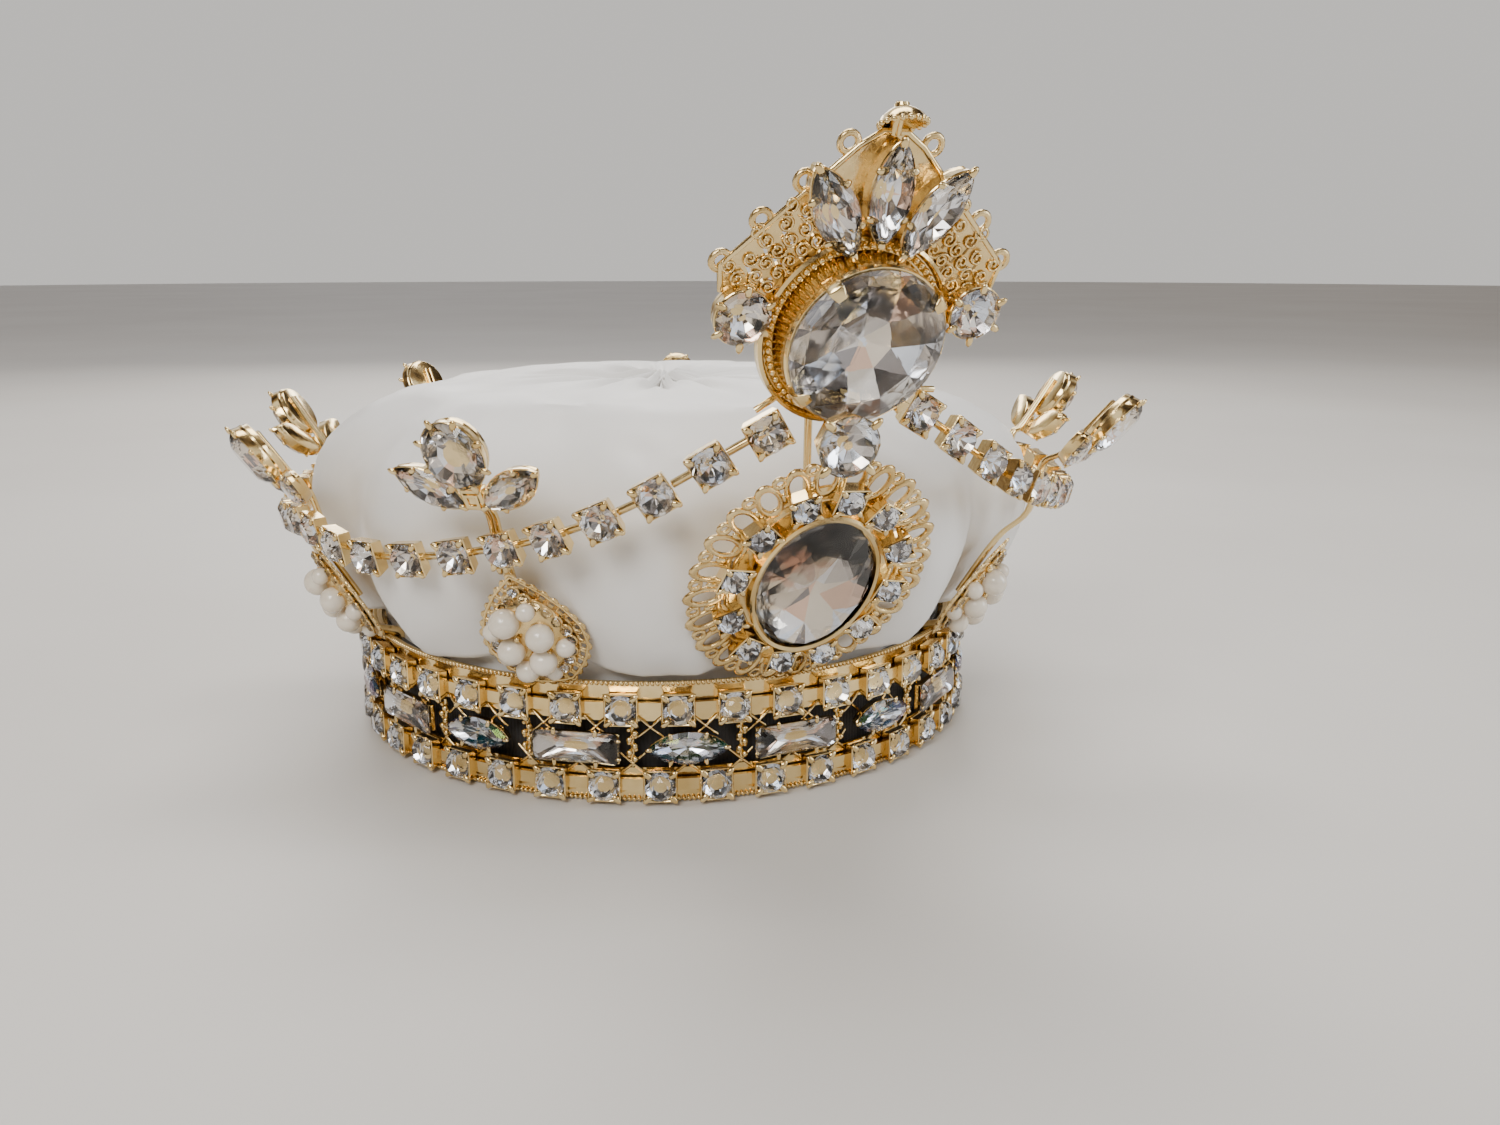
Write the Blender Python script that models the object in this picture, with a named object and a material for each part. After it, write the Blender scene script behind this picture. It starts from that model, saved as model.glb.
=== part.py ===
"""A costume tiara in the form of a small crown.

A pierced gold band carries two rows of round stones in square cups and a middle row of long
stones. Eight pearl leaves and a leaning medallion stand on its rim. Three-stone sprays rise
behind the leaves, a garland of round stones hangs from spray to spray, and the medallion
carries a tall crest with one large clear stone. A padded satin cap fills the crown.

Sizes are in millimetres until the last step, which writes metres. The crown's axis is Z, it
stands on Z = 0, and its front, the medallion, faces -Y.
"""
from math import cos, pi, radians, sin, tau

import bmesh
import bpy
import numpy as np
from mathutils import Euler, Matrix, Vector
from mathutils.geometry import tessellate_polygon

MM = 0.001
GAP = 0.3
FLAT_ANGLE = 0.3

# The band
BAND_R = 87.0
BAND_WALL = 1.2
BAND_TOP = 31.2
BAND_CELLS = 20
BAND_INNER_FLAT = (BAND_R - BAND_WALL) * cos(pi / (2 * BAND_CELLS))
WINDOW_LOW, WINDOW_HIGH = 10.9, 19.5
WINDOW_HALF = 3.9
CROSSING = 1.3

# The two rows of round stones in square cups
ROW_STONES = 40
ROW_CUP = 9.2
ROW_CUP_DEPTH = 3.6
ROW_STONE_RISE = 1.9
ROW_R = BAND_R + GAP
ROW_BAR_HALF = 1.3
ROW_BAR_BACK, ROW_BAR_FRONT = 0.9, 1.9
ROWS = {"upper": {"height": 25.3, "turn": 1.5}, "lower": {"height": 5.2, "turn": -1.5}}

# The middle row of long stones
MIDDLE_HEIGHT = 15.2
MIDDLE_TURN = 3.0
BAGUETTE = {"length": 23.0, "width": 8.2}
NAVETTE = {"length": 20.4, "width": 8.6}
MIDDLE_GIRDLE, MIDDLE_TABLE = 3.2, 4.9

# Stations round the rim: the medallion is at 0, the eight posts stand every 40 degrees
LEAF_FOOT_R, LEAF_FOOT_Z = 88.7, 31.6
LEAF_LENGTH, LEAF_WIDTH = 33.0, 28.6
LEAF_WALL = 1.1
LEAF_WIDTHS = (0.42, 0.80, 0.98, 0.97, 0.78, 0.45)
LEAF_FIRST_STEP, LEAF_STEP = 0.02, 0.165
LEAF_HOOK = (1.2, 4.6)
HOOK_LOW, HOOK_WALL, HOOK_HALF_WIDTH, HOOK_BITE = 25.0, 1.2, 2.4, 0.6
HOOK_R = BAND_INNER_FLAT - GAP - 0.3
POSTS = (
    {"name": "l1", "azimuth": -40, "leaf_turn": 3.6, "leaf_lean": 22, "leaf_roll": 9, "hang_r": 105.0,
     "hang_z": 69.0, "node_r": 110.5, "node_z": 82.0, "spray_lean": 25, "spray_roll": 2},
    {"name": "l2", "azimuth": -80, "leaf_turn": 0.0, "leaf_lean": 30, "leaf_roll": 6, "hang_r": 105.0,
     "hang_z": 66.5, "node_r": 107.5, "node_z": 75.8, "spray_lean": 34, "spray_roll": -4},
    {"name": "l3", "azimuth": -120, "leaf_turn": 0.0, "leaf_lean": 26, "leaf_roll": -5, "hang_r": 106.5,
     "hang_z": 67.4, "node_r": 109.0, "node_z": 76.2, "spray_lean": 34, "spray_roll": 5},
    {"name": "l4", "azimuth": -154, "leaf_turn": 0.0, "leaf_lean": 26, "leaf_roll": 6, "hang_r": 110.0,
     "hang_z": 69.0, "node_r": 114.0, "node_z": 78.4, "spray_lean": 28, "spray_roll": -6},
    {"name": "r4", "azimuth": 160, "leaf_turn": 0.0, "leaf_lean": 26, "leaf_roll": -6, "hang_r": 111.0,
     "hang_z": 69.0, "node_r": 115.0, "node_z": 78.4, "spray_lean": 30, "spray_roll": 6},
    {"name": "r3", "azimuth": 120, "leaf_turn": 0.0, "leaf_lean": 26, "leaf_roll": 5, "hang_r": 112.0,
     "hang_z": 70.0, "node_r": 115.5, "node_z": 79.4, "spray_lean": 32, "spray_roll": -5},
    {"name": "r2", "azimuth": 80, "leaf_turn": 0.0, "leaf_lean": 26, "leaf_roll": -6, "hang_r": 113.0,
     "hang_z": 71.5, "node_r": 116.5, "node_z": 81.0, "spray_lean": 34, "spray_roll": 5},
    {"name": "r1", "azimuth": 40, "leaf_turn": 0.0, "leaf_lean": 33, "leaf_roll": -8, "hang_r": 116.5,
     "hang_z": 74.5, "node_r": 122.5, "node_z": 85.0, "spray_lean": 41, "spray_roll": -6},
)

# Pearls on a leaf, as offsets across and up the leaf from its middle, and their size
LEAF_PEARLS = (
    {"across": -3.4, "up": 5.6, "size": 6.8},
    {"across": 4.6, "up": 1.6, "size": 6.2},
    {"across": -5.0, "up": -2.4, "size": 6.2},
    {"across": 2.8, "up": -6.4, "size": 6.0},
    {"across": -3.2, "up": -10.0, "size": 5.0},
)

# The spray at the top of a post
STEM_WIDTH, STEM_THICKNESS = 3.4, 1.4
STEM_FOOT_UP, STEM_HEAD_UP = 14.0, 17.4
SPRAY_OVAL = {"length": 18.0, "width": 15.6, "up": 13.4, "depth": 5.0, "rise": 2.6}
SPRAY_LEAFLET = {"length": 19.0, "width": 9.4, "across": 10.2, "up": 3.8, "turn": 32.0,
                 "depth": 3.2, "rise": 1.9}
SPRAY_KNOT = {"half_width": 3.0, "low": -1.8, "high": 3.4, "back": 0.4, "front": 3.4}

# The garland of round stones
GARLAND_STONES = 51
GARLAND_CUP = 10.4
GARLAND_DEPTH, GARLAND_RISE = 3.6, 2.0
GARLAND_BAR_HALF = 1.3
GARLAND_BAR_BACK, GARLAND_BAR_FRONT = 0.4, 1.6
GARLAND_ENDS = (
    {"azimuth": -7.8, "radius": 120.5, "height": 98.5},
    {"azimuth": 9.4, "radius": 120.5, "height": 101.0},
)
GARLAND_SAG = 4.0
GARLAND_LEAN = 0.25
GARLAND_LEEWAY = 1.2

# The medallion, an oval of lace loops round a large oval stone
MEDALLION = {"azimuth": 0, "radius": 106.8, "height": 62.2, "lean": 32.0, "roll": 7.0}
LACE_HALF_WIDTH, LACE_HALF_HEIGHT = 28.4, 34.2
LACE_LOOPS, LACE_LOOP_HALF = 24, 0.24
LACE_BULGE, LACE_HOLE_INNER, LACE_HOLE_OUTER = 1.03, 0.86, 0.96
LACE_WALL = 1.2
LACE_HOOK = (-33.5, -30.8)
MEDALLION_CUPS = 12
MEDALLION_CUP = {"size": 7.6, "back": 0.5, "girdle": 4.2, "table": 5.8}
MEDALLION_RING_HALF_WIDTH, MEDALLION_RING_HALF_HEIGHT = 20.6, 26.2
MEDALLION_SEAT = {"margin": 2.0, "back": 0.6, "front": 2.6}
MEDALLION_STONE = {"width": 28.6, "length": 41.0, "girdle": 4.0, "table": 7.4}
DROP_PLACE = {"azimuth": -1.8, "radius": 131.2, "height": 97.2, "lean": 15.0}
DROP = {"size": 15.0, "girdle": 4.6, "table": 7.4}

# The crest, a fan-shaped pierced plate with one large round stone
CREST = {"azimuth": 0, "radius": 125.6, "height": 119.8, "lean": 24.4, "roll": 0.0}
CREST_WALL = 1.1
BEZEL_FLANGE_R, BEZEL_R = 21.0, 17.2
BEZEL_FLANGE_TOP, BEZEL_TOP = 2.4, 7.8
CREST_STONE = {"radius": 17.7, "girdle": 10.0, "table": 13.6}
FAN_HALF_WIDTH, FAN_LOW, FAN_SHOULDER, FAN_HALF_TOP, FAN_TOP = 30.5, 9.0, 14.5, 7.0, 38.5
FAN_TIP_HALF, FAN_TIP = 2.6, 41.4
CREST_FOOT = ((-14.0, -8.0), (14.0, -8.0))
SLOT_COLUMNS, SLOT_LINES = 3, 2
SLOT_REACH, SLOT_LINE_STEP = 23.4, 3.9
SLOT_ANGLE, SLOT_ANGLE_STEP, SLOT_TURN = 32.0, 12.0, 58.0
SLOT_HALF_LENGTH, SLOT_HALF_WIDTH = 1.4, 0.7
CREST_NAVETTE = {"length": 22.0, "width": 9.8, "back": 0.5, "seat": 4.2, "girdle": 5.6, "table": 7.6}
CREST_FAN = (
    {"label": "left", "across": -10.9, "up": 26.8, "lean": 32.0},
    {"label": "middle", "across": 0.0, "up": 30.6, "lean": 0.0},
    {"label": "right", "across": 10.9, "up": 26.8, "lean": -32.0},
)
CREST_ROUND = {"size": 12.6, "across": 26.4, "up": 4.8, "back": 0.4, "seat": 4.0, "girdle": 5.6, "table": 7.4}
RING_TAB_SIZE, RING_TAB_HOLE = 5.2, 2.2
RING_TABS = (
    {"across": 31.3, "up": 15.2},
    {"across": 24.2, "up": 23.6},
    {"across": 16.6, "up": 31.4},
    {"across": 9.0, "up": 39.0},
)
FINIAL = {"size": 9.4, "hole": 3.0, "wall": 1.6, "up": 45.4, "out": 2.4, "tilt": 55.0}
FINIAL_NECK = {"half_width": 1.9, "low": 41.8, "high": 46.4, "back": 0.6, "front": 2.4}
STRUT_HALF_SPREAD, STRUT_RADIUS = 4.5, 1.0
STRUT_PATH = ((114.6, 77.3), (115.4, 100.2), (122.1, 112.2))
LINK_RADIUS = 0.9
LINK_HEAD = (13.0, -1.3, -14.3)

# The padded cap: height, then radius at a post and halfway between two posts
CAP_WALL = 3.6
CAP_RINGS = (
    {"height": 3.0, "at_post": 82.9, "between": 82.9, "shift": 0.0, "lining": True},
    {"height": 33.0, "at_post": 83.1, "between": 84.0, "shift": 0.0, "lining": True},
    {"height": 38.0, "at_post": 85.6, "between": 91.0, "shift": 0.6, "lining": False},
    {"height": 47.0, "at_post": 89.0, "between": 98.0, "shift": 1.8, "lining": False},
    {"height": 60.0, "at_post": 92.0, "between": 101.4, "shift": 3.0, "lining": True},
    {"height": 73.0, "at_post": 92.5, "between": 101.4, "shift": 3.2, "lining": False},
    {"height": 84.0, "at_post": 89.5, "between": 97.0, "shift": 3.2, "lining": True},
    {"height": 93.0, "at_post": 80.0, "between": 86.0, "shift": 2.6, "lining": False},
    {"height": 100.5, "at_post": 62.0, "between": 67.0, "shift": 1.6, "lining": True},
    {"height": 104.0, "at_post": 41.0, "between": 44.0, "shift": 0.8, "lining": False},
    {"height": 103.0, "at_post": 19.0, "between": 20.0, "shift": 0.0, "lining": False},
)
CAP_SHOULDER = 80.0
CAP_CENTRE_HEIGHT = 99.0
CAP_LOBES = 9
CAP_COLUMNS = 4 * CAP_LOBES

GOLD = {"colour": (0.83, 0.62, 0.28), "roughness": 0.22, "metallic": 1.0}
CRYSTAL = {"colour": (0.88, 0.86, 0.84), "roughness": 0.05, "metallic": 0.0}
PEARL_GOLD = {"colour": (0.90, 0.82, 0.66), "roughness": 0.3, "metallic": 0.3}
SATIN = {"colour": (0.90, 0.88, 0.85), "roughness": 0.45, "metallic": 0.0}


def clear_scene():
    for item in list(bpy.data.objects):
        bpy.data.objects.remove(item, do_unlink=True)


def material(name, look):
    mat = bpy.data.materials.new(name)
    mat.use_nodes = True
    shader = mat.node_tree.nodes["Principled BSDF"]
    shader.inputs["Base Color"].default_value = (*look["colour"], 1.0)
    shader.inputs["Roughness"].default_value = look["roughness"]
    shader.inputs["Metallic"].default_value = look["metallic"]
    return mat


# Outlines are lists of (across, up) points, anticlockwise as seen from outside

def ellipse(width, height, sides, start=0.5):
    steps = [(k + start) * tau / sides for k in range(sides)]
    return [(width / 2 * cos(t), height / 2 * sin(t)) for t in steps]


def rectangle(width, height, cut):
    x, y = width / 2, height / 2
    return [(x, -y + cut), (x, y - cut), (x - cut, y), (-x + cut, y),
            (-x, y - cut), (-x, -y + cut), (-x + cut, -y), (x - cut, -y)]


def pointed(length, width, sides):
    """A navette lying along the across axis: two arcs that meet in two points."""
    half = sides // 2
    upper = [(length / 2 * cos(pi * k / half), width / 2 * sin(pi * k / half) ** 0.9) for k in range(half + 1)]
    lower = [(x, -y) for x, y in reversed(upper[1:-1])]
    return upper + lower


def square(half):
    return [(half, -half), (half, half), (-half, half), (-half, -half)]


def turned(outline, degrees, across=0.0, up=0.0):
    c, s = cos(radians(degrees)), sin(radians(degrees))
    return [(across + c * x - s * y, up + s * x + c * y) for x, y in outline]


# Shells are (points, faces) in local axes: x across, -y outwards, z up

def layer(outline, out):
    return [Vector((x, -out, z)) for x, z in outline]


def prism(outline, back, front):
    n = len(outline)
    points = layer(outline, back) + layer(outline, front)
    sides = [(k, (k + 1) % n, n + (k + 1) % n, n + k) for k in range(n)]
    return points, [tuple(range(n)), tuple(range(n, 2 * n))] + sides


def gem(outline, back, girdle, table, shrink=0.62, centre=(0.0, 0.0)):
    """A cup with straight walls, and above it a cut stone with a table and two facets a side."""
    n = len(outline)
    middles = [((outline[k][0] + outline[(k + 1) % n][0]) / 2, (outline[k][1] + outline[(k + 1) % n][1]) / 2)
               for k in range(n)]
    top = [(centre[0] + (x - centre[0]) * shrink, centre[1] + (y - centre[1]) * shrink) for x, y in middles]
    points = layer(outline, back) + layer(outline, girdle) + layer(top, table)
    faces = [tuple(range(n)), tuple(range(2 * n, 3 * n))]
    for k in range(n):
        k2 = (k + 1) % n
        faces.append((k, k2, n + k2, n + k))
        faces.append((n + k, n + k2, 2 * n + k))
        faces.append((n + k2, 2 * n + k2, 2 * n + k))
    return points, faces


def pierced(outline, holes, back, front):
    """A plate with openings cut through it."""
    loops = [outline] + holes
    flat = [[Vector((x, z, 0.0)) for x, z in loop] for loop in loops]
    count = sum(len(loop) for loop in loops)
    points = [p for out in (back, front) for loop in loops for p in layer(loop, out)]
    faces = []
    for tri in tessellate_polygon(flat):
        faces.append(tuple(tri))
        faces.append(tuple(count + k for k in tri))
    start = 0
    for loop in loops:
        n = len(loop)
        for k in range(n):
            a, b = start + k, start + (k + 1) % n
            faces.append((a, b, count + b, count + a))
        start += n
    return points, faces


def rod(path, across, sides, thickness=None):
    """A straight-sided wire through path points, which lie in one plane x = constant."""
    thickness = thickness or across
    rings = []
    for k, point in enumerate(path):
        before, after = path[max(k - 1, 0)], path[min(k + 1, len(path) - 1)]
        along = (after - before).normalized()
        side = Vector((1.0, 0.0, 0.0))
        out = along.cross(side).normalized()
        turns = [(j + 0.5) * tau / sides for j in range(sides)]
        reach = 1.0 / cos(pi / sides) if sides == 4 else 1.0
        width, depth = across * reach, thickness * reach
        rings.append([point + side * (width * cos(t)) + out * (depth * sin(t)) for t in turns])
    points = [p for ring in rings for p in ring]
    faces = [tuple(range(sides)), tuple(range(len(points) - sides, len(points)))]
    for k in range(len(rings) - 1):
        for j in range(sides):
            a, b = k * sides + j, k * sides + (j + 1) % sides
            faces.append((a, b, b + sides, a + sides))
    return points, faces


def wire(foot, head, radius, sides):
    """A straight wire between any two points."""
    turn = (head - foot).to_track_quat("Z", "Y").to_matrix()
    turns = [k * tau / sides for k in range(sides)]
    ring = [turn @ Vector((radius * cos(t), radius * sin(t), 0.0)) for t in turns]
    points = [foot + p for p in ring] + [head + p for p in ring]
    faces = [tuple(range(sides)), tuple(range(sides, 2 * sides))]
    faces += [(k, (k + 1) % sides, sides + (k + 1) % sides, sides + k) for k in range(sides)]
    return points, faces


def pearl(across, up, size, seat):
    """A ten-sided bead, sunk a little into the plate below it."""
    r = size / 2
    rings = [(0.98 * r, seat - 0.3), (0.74 * r, seat + 0.95 * r)]
    points = []
    for ring_r, out in rings:
        points += layer(turned(ellipse(2 * ring_r, 2 * ring_r, 10), 0, across, up), out)
    points.append(Vector((across, -(seat + 1.45 * r), up)))
    faces = [tuple(range(10))]
    for j in range(10):
        j2 = (j + 1) % 10
        faces += [(j, j2, 10 + j2, 10 + j), (10 + j, 10 + j2, 20)]
    return points, faces


def placed(shell, matrix):
    return [matrix @ p for p in shell[0]], shell[1]


def station(azimuth, radius, height, lean=0.0, roll=0.0):
    """The local axes of a place on the crown, leaning outwards from the vertical."""
    a = radians(azimuth)
    place = Matrix.Translation((radius * sin(a), -radius * cos(a), height))
    return place @ Euler((radians(lean), radians(-roll), a), "YXZ").to_matrix().to_4x4()


def to_mesh(name, shell):
    mesh = bpy.data.meshes.new(name)
    mesh.from_pydata([tuple(p) for p in shell[0]], [], shell[1])
    work = bmesh.new()
    work.from_mesh(mesh)
    bmesh.ops.remove_doubles(work, verts=work.verts, dist=0.0005)
    bmesh.ops.recalc_face_normals(work, faces=work.faces)
    work.to_mesh(mesh)
    work.free()
    return mesh


def fused(name, base, others):
    """Solders the other shells to the first one, which gives one body."""
    holder = bpy.data.objects.new(name, to_mesh(name, base))
    bpy.context.collection.objects.link(holder)
    for number, shell in enumerate(others):
        tool = bpy.data.objects.new(f"{name}_tool", to_mesh(f"{name}_tool", shell))
        bpy.context.collection.objects.link(tool)
        union = holder.modifiers.new(f"solder_{number}", "BOOLEAN")
        union.operation, union.solver, union.object = "UNION", "EXACT", tool
        depsgraph = bpy.context.evaluated_depsgraph_get()
        mesh = bpy.data.meshes.new_from_object(holder.evaluated_get(depsgraph))
        holder.modifiers.clear()
        holder.data = mesh
        bpy.data.objects.remove(tool, do_unlink=True)
    mesh = holder.data
    bpy.data.objects.remove(holder, do_unlink=True)
    work = bmesh.new()
    work.from_mesh(mesh)
    bmesh.ops.dissolve_limit(work, angle_limit=radians(FLAT_ANGLE), verts=work.verts, edges=work.edges)
    work.to_mesh(mesh)
    work.free()
    return mesh


def add(name, mesh, mat, place=None):
    """One named object in metres, at its place on the crown."""
    mesh.transform(Matrix.Scale(MM, 4))
    mesh.materials.clear()
    mesh.materials.append(mat)
    thing = bpy.data.objects.new(name, mesh)
    bpy.context.collection.objects.link(thing)
    if place is not None:
        place = place.copy()
        place.translation *= MM
        thing.matrix_world = place
    return thing


def band(mat):
    """The strip: one cell of 18 degrees is drawn flat, then repeated round the ring."""
    step = 360.0 / BAND_CELLS
    middle = (WINDOW_LOW + WINDOW_HIGH) / 2
    outline = [(0, 0), (step / 2, 0), (step, 0), (step, BAND_TOP), (step / 2, BAND_TOP), (0, BAND_TOP)]
    left, right = step / 2 - WINDOW_HALF, step / 2 + WINDOW_HALF
    upper = [(left, WINDOW_HIGH), (right, WINDOW_HIGH), (step / 2, middle + CROSSING)]
    lower = [(left, WINDOW_LOW), (step / 2, middle - CROSSING), (right, WINDOW_LOW)]
    loops = [outline, upper, lower]
    flat = [p for loop in loops for p in loop]
    triangles = tessellate_polygon([[Vector((x, z, 0.0)) for x, z in loop] for loop in loops])
    rims = [(0, 1), (1, 2), (3, 4), (4, 5)]
    rims += [(6 + k, 6 + (k + 1) % 3) for k in range(3)] + [(9 + k, 9 + (k + 1) % 3) for k in range(3)]
    points, faces = [], []
    for cell in range(BAND_CELLS):
        start = len(points)
        for r in (BAND_R, BAND_R - BAND_WALL):
            for degrees, z in flat:
                a = radians(MIDDLE_TURN + cell * step + degrees)
                points.append(Vector((r * sin(a), -r * cos(a), z)))
        count = len(flat)
        faces += [tuple(start + k for k in tri) for tri in triangles]
        faces += [tuple(start + count + k for k in tri) for tri in triangles]
        faces += [(start + a, start + b, start + count + b, start + count + a) for a, b in rims]
    add("band", to_mesh("band", (points, faces)), mat)


def chain(frames, half, outline, depth, rise, bar, closed):
    """Stones in cups joined by flat bars. bar gives its half height and its back and front."""
    bar_half, bar_back, bar_front = bar
    n = len(outline)
    middles = [((outline[k][0] + outline[(k + 1) % n][0]) / 2, (outline[k][1] + outline[(k + 1) % n][1]) / 2)
               for k in range(n)]
    table = [(x * 0.6, y * 0.6) for x, y in middles]
    size = 3 * n + 8
    points, faces = [], []
    count = len(frames)
    for number, frame in enumerate(frames):
        start = len(points)
        local = layer(outline, 0.0) + layer(outline, depth) + layer(table, depth + rise)
        for x in (half, -half):
            local += [Vector((x, -bar_back, -bar_half)), Vector((x, -bar_front, -bar_half)),
                      Vector((x, -bar_front, bar_half)), Vector((x, -bar_back, bar_half))]
        points += [frame @ p for p in local]
        faces.append(tuple(start + k for k in range(n)))
        faces.append(tuple(start + 2 * n + k for k in range(n)))
        for k in range(n):
            k2 = (k + 1) % n
            corner = (start + k, start + n + k, start + n + k2, start + k2)
            faces.append((start + n + k, start + n + k2, start + 2 * n + k))
            faces.append((start + n + k2, start + 2 * n + k2, start + 2 * n + k))
            on_right = min(outline[k][0], outline[k2][0]) > half - 1e-6
            on_left = max(outline[k][0], outline[k2][0]) < 1e-6 - half
            has_bar = (on_right and (closed or number < count - 1)) or (on_left and (closed or number > 0))
            if not has_bar:
                faces.append(corner)
                continue
            first = start + 3 * n + (0 if on_right else 4)
            mouth = [first, first + 1, first + 2, first + 3]
            if on_left:
                mouth = [first + 3, first + 2, first + 1, first]
            for j in range(4):
                j2 = (j + 1) % 4
                faces.append((corner[j], corner[j2], mouth[j2], mouth[j]))
        if closed or number < count - 1:
            here = start + 3 * n
            there = (number + 1) % count * size + 3 * n + 4
            for j in range(4):
                j2 = (j + 1) % 4
                faces.append((here + j, here + j2, there + j2, there + j))
    used = sorted({k for face in faces for k in face})
    number_of = {k: i for i, k in enumerate(used)}
    return [points[k] for k in used], [tuple(number_of[k] for k in face) for face in faces]


def stone_row(name, height, turn, mat):
    half = ROW_CUP / 2
    frames = [station(turn + k * 360.0 / ROW_STONES, ROW_R, height) for k in range(ROW_STONES)]
    bar = (ROW_BAR_HALF, ROW_BAR_BACK, ROW_BAR_FRONT)
    shell = chain(frames, half, square(half), ROW_CUP_DEPTH, ROW_STONE_RISE, bar, True)
    add(name, to_mesh(name, shell), mat)


def middle_row(mat):
    step = 360.0 / BAND_CELLS
    radius = BAND_R + GAP
    for number in range(BAND_CELLS):
        place = station(MIDDLE_TURN + number * step, radius, MIDDLE_HEIGHT)
        label = f"{number // 2 + 1:02d}"
        if number % 2 == 0:
            outline = rectangle(BAGUETTE["length"], BAGUETTE["width"], 1.2)
            shell = gem(outline, 0, MIDDLE_GIRDLE, MIDDLE_TABLE, 0.72)
            name = f"baguette_stone_{label}"
        else:
            outline = pointed(NAVETTE["length"], NAVETTE["width"], 8)
            shell = gem(outline, 0, MIDDLE_GIRDLE, MIDDLE_TABLE, 0.6)
            name = f"navette_stone_{label}"
        add(name, to_mesh(name, shell), mat, place)


def leaf_outline():
    """A rounded drop, widest below its middle, with its point at the top."""
    heights = [LEAF_LENGTH * (LEAF_FIRST_STEP + LEAF_STEP * k) for k in range(len(LEAF_WIDTHS))]
    right = [(LEAF_WIDTH / 2 * width, height) for width, height in zip(LEAF_WIDTHS, heights)]
    left = [(-x, y) for x, y in reversed(right)]
    return right + [(0.0, LEAF_LENGTH)] + left


def rim_hook(place, azimuth, low, high):
    """A tongue behind the band, up over its rim and into the plate between two heights on it."""
    inner = HOOK_R
    upright = station(azimuth, 0.0, 0.0)
    on_plate = []
    for up in (low, high):
        point = upright.inverted() @ (place @ Vector((0.0, -HOOK_BITE, up)))
        on_plate.append((-point.y, point.z))
    profile = [(inner - HOOK_WALL, HOOK_LOW), (inner, HOOK_LOW), (inner, BAND_TOP + GAP), *on_plate,
               (inner - HOOK_WALL, BAND_TOP + GAP + HOOK_WALL)]
    n = len(profile)
    points = [Vector((x, -out, z)) for x in (-HOOK_HALF_WIDTH, HOOK_HALF_WIDTH) for out, z in profile]
    faces = [tuple(range(n)), tuple(range(n, 2 * n))]
    faces += [(k, (k + 1) % n, n + (k + 1) % n, n + k) for k in range(n)]
    return placed((points, faces), place.inverted() @ upright)


def pearl_leaf(post, mat):
    plate = prism(leaf_outline(), 0.0, LEAF_WALL)
    middle = LEAF_LENGTH / 2
    pearls = [pearl(p["across"], p["up"] + middle, p["size"], LEAF_WALL) for p in LEAF_PEARLS]
    name = f"leaf_{post['name']}"
    azimuth = post["azimuth"] + post["leaf_turn"]
    place = station(azimuth, LEAF_FOOT_R, LEAF_FOOT_Z, post["leaf_lean"], post["leaf_roll"])
    hook = rim_hook(place, azimuth, *LEAF_HOOK)
    add(name, fused(name, plate, [hook] + pearls), mat, place)


def spray(post, mat):
    name = f"spray_{post['name']}"
    place = station(post["azimuth"], post["node_r"], post["node_z"], post["spray_lean"], post["spray_roll"])
    oval, leaflet = SPRAY_OVAL, SPRAY_LEAFLET
    body = [(x, z + oval["up"]) for x, z in ellipse(oval["width"], oval["length"], 8)]
    shells = [gem(body, 0.8, oval["depth"], oval["depth"] + oval["rise"], 0.6, (0.0, oval["up"]))]
    for side in (-1, 1):
        centre = (side * leaflet["across"], leaflet["up"])
        blade = turned(pointed(leaflet["length"], leaflet["width"], 8), side * leaflet["turn"], *centre)
        shells.append(gem(blade, 0.6, leaflet["depth"], leaflet["depth"] + leaflet["rise"], 0.55, centre))
    half, low, high = SPRAY_KNOT["half_width"], SPRAY_KNOT["low"], SPRAY_KNOT["high"]
    knot = [(half, low), (half, high), (-half, high), (-half, low)]
    shells.append(prism(knot, SPRAY_KNOT["back"], SPRAY_KNOT["front"]))
    lean, foot_r = radians(post["leaf_lean"]), LEAF_FOOT_R
    behind = 0.5 * STEM_THICKNESS + 2 * GAP
    on_leaf = [(foot_r + v * sin(lean) - behind * cos(lean), LEAF_FOOT_Z + v * cos(lean) + behind * sin(lean))
               for v in (STEM_FOOT_UP, LEAF_LENGTH)]
    cup = GARLAND_CUP / 2 + GARLAND_LEEWAY
    hang = [(post["hang_r"] - behind + v * GARLAND_LEAN, post["hang_z"] + v) for v in (-cup, cup)]
    tilt = radians(post["spray_lean"])
    head = [(post["node_r"] + v * sin(tilt) + 0.3, post["node_z"] + v * cos(tilt)) for v in (0.0, STEM_HEAD_UP)]
    upright = station(post["azimuth"], 0.0, 0.0)
    path = [Vector((0.0, -r, z)) for r, z in on_leaf + hang + head]
    stem = placed(rod(path, STEM_WIDTH / 2, 4, STEM_THICKNESS / 2), place.inverted() @ upright)
    add(name, fused(name, stem, shells), mat, place)


def smooth_route(knots, samples):
    """A smooth curve through the knots, as Catmull-Rom spans."""
    knots = np.array(knots, float)
    ends = np.vstack([2 * knots[0] - knots[1], knots, 2 * knots[-1] - knots[-2]])
    route = []
    for k in range(len(knots) - 1):
        p0, p1, p2, p3 = ends[k:k + 4]
        for t in np.linspace(0.0, 1.0, samples, endpoint=False):
            route.append(0.5 * (2 * p1 + (p2 - p0) * t + (2 * p0 - 5 * p1 + 4 * p2 - p3) * t * t
                                + (3 * p1 - p0 - 3 * p2 + p3) * t ** 3))
    route.append(knots[-1])
    return np.array(route)


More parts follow.
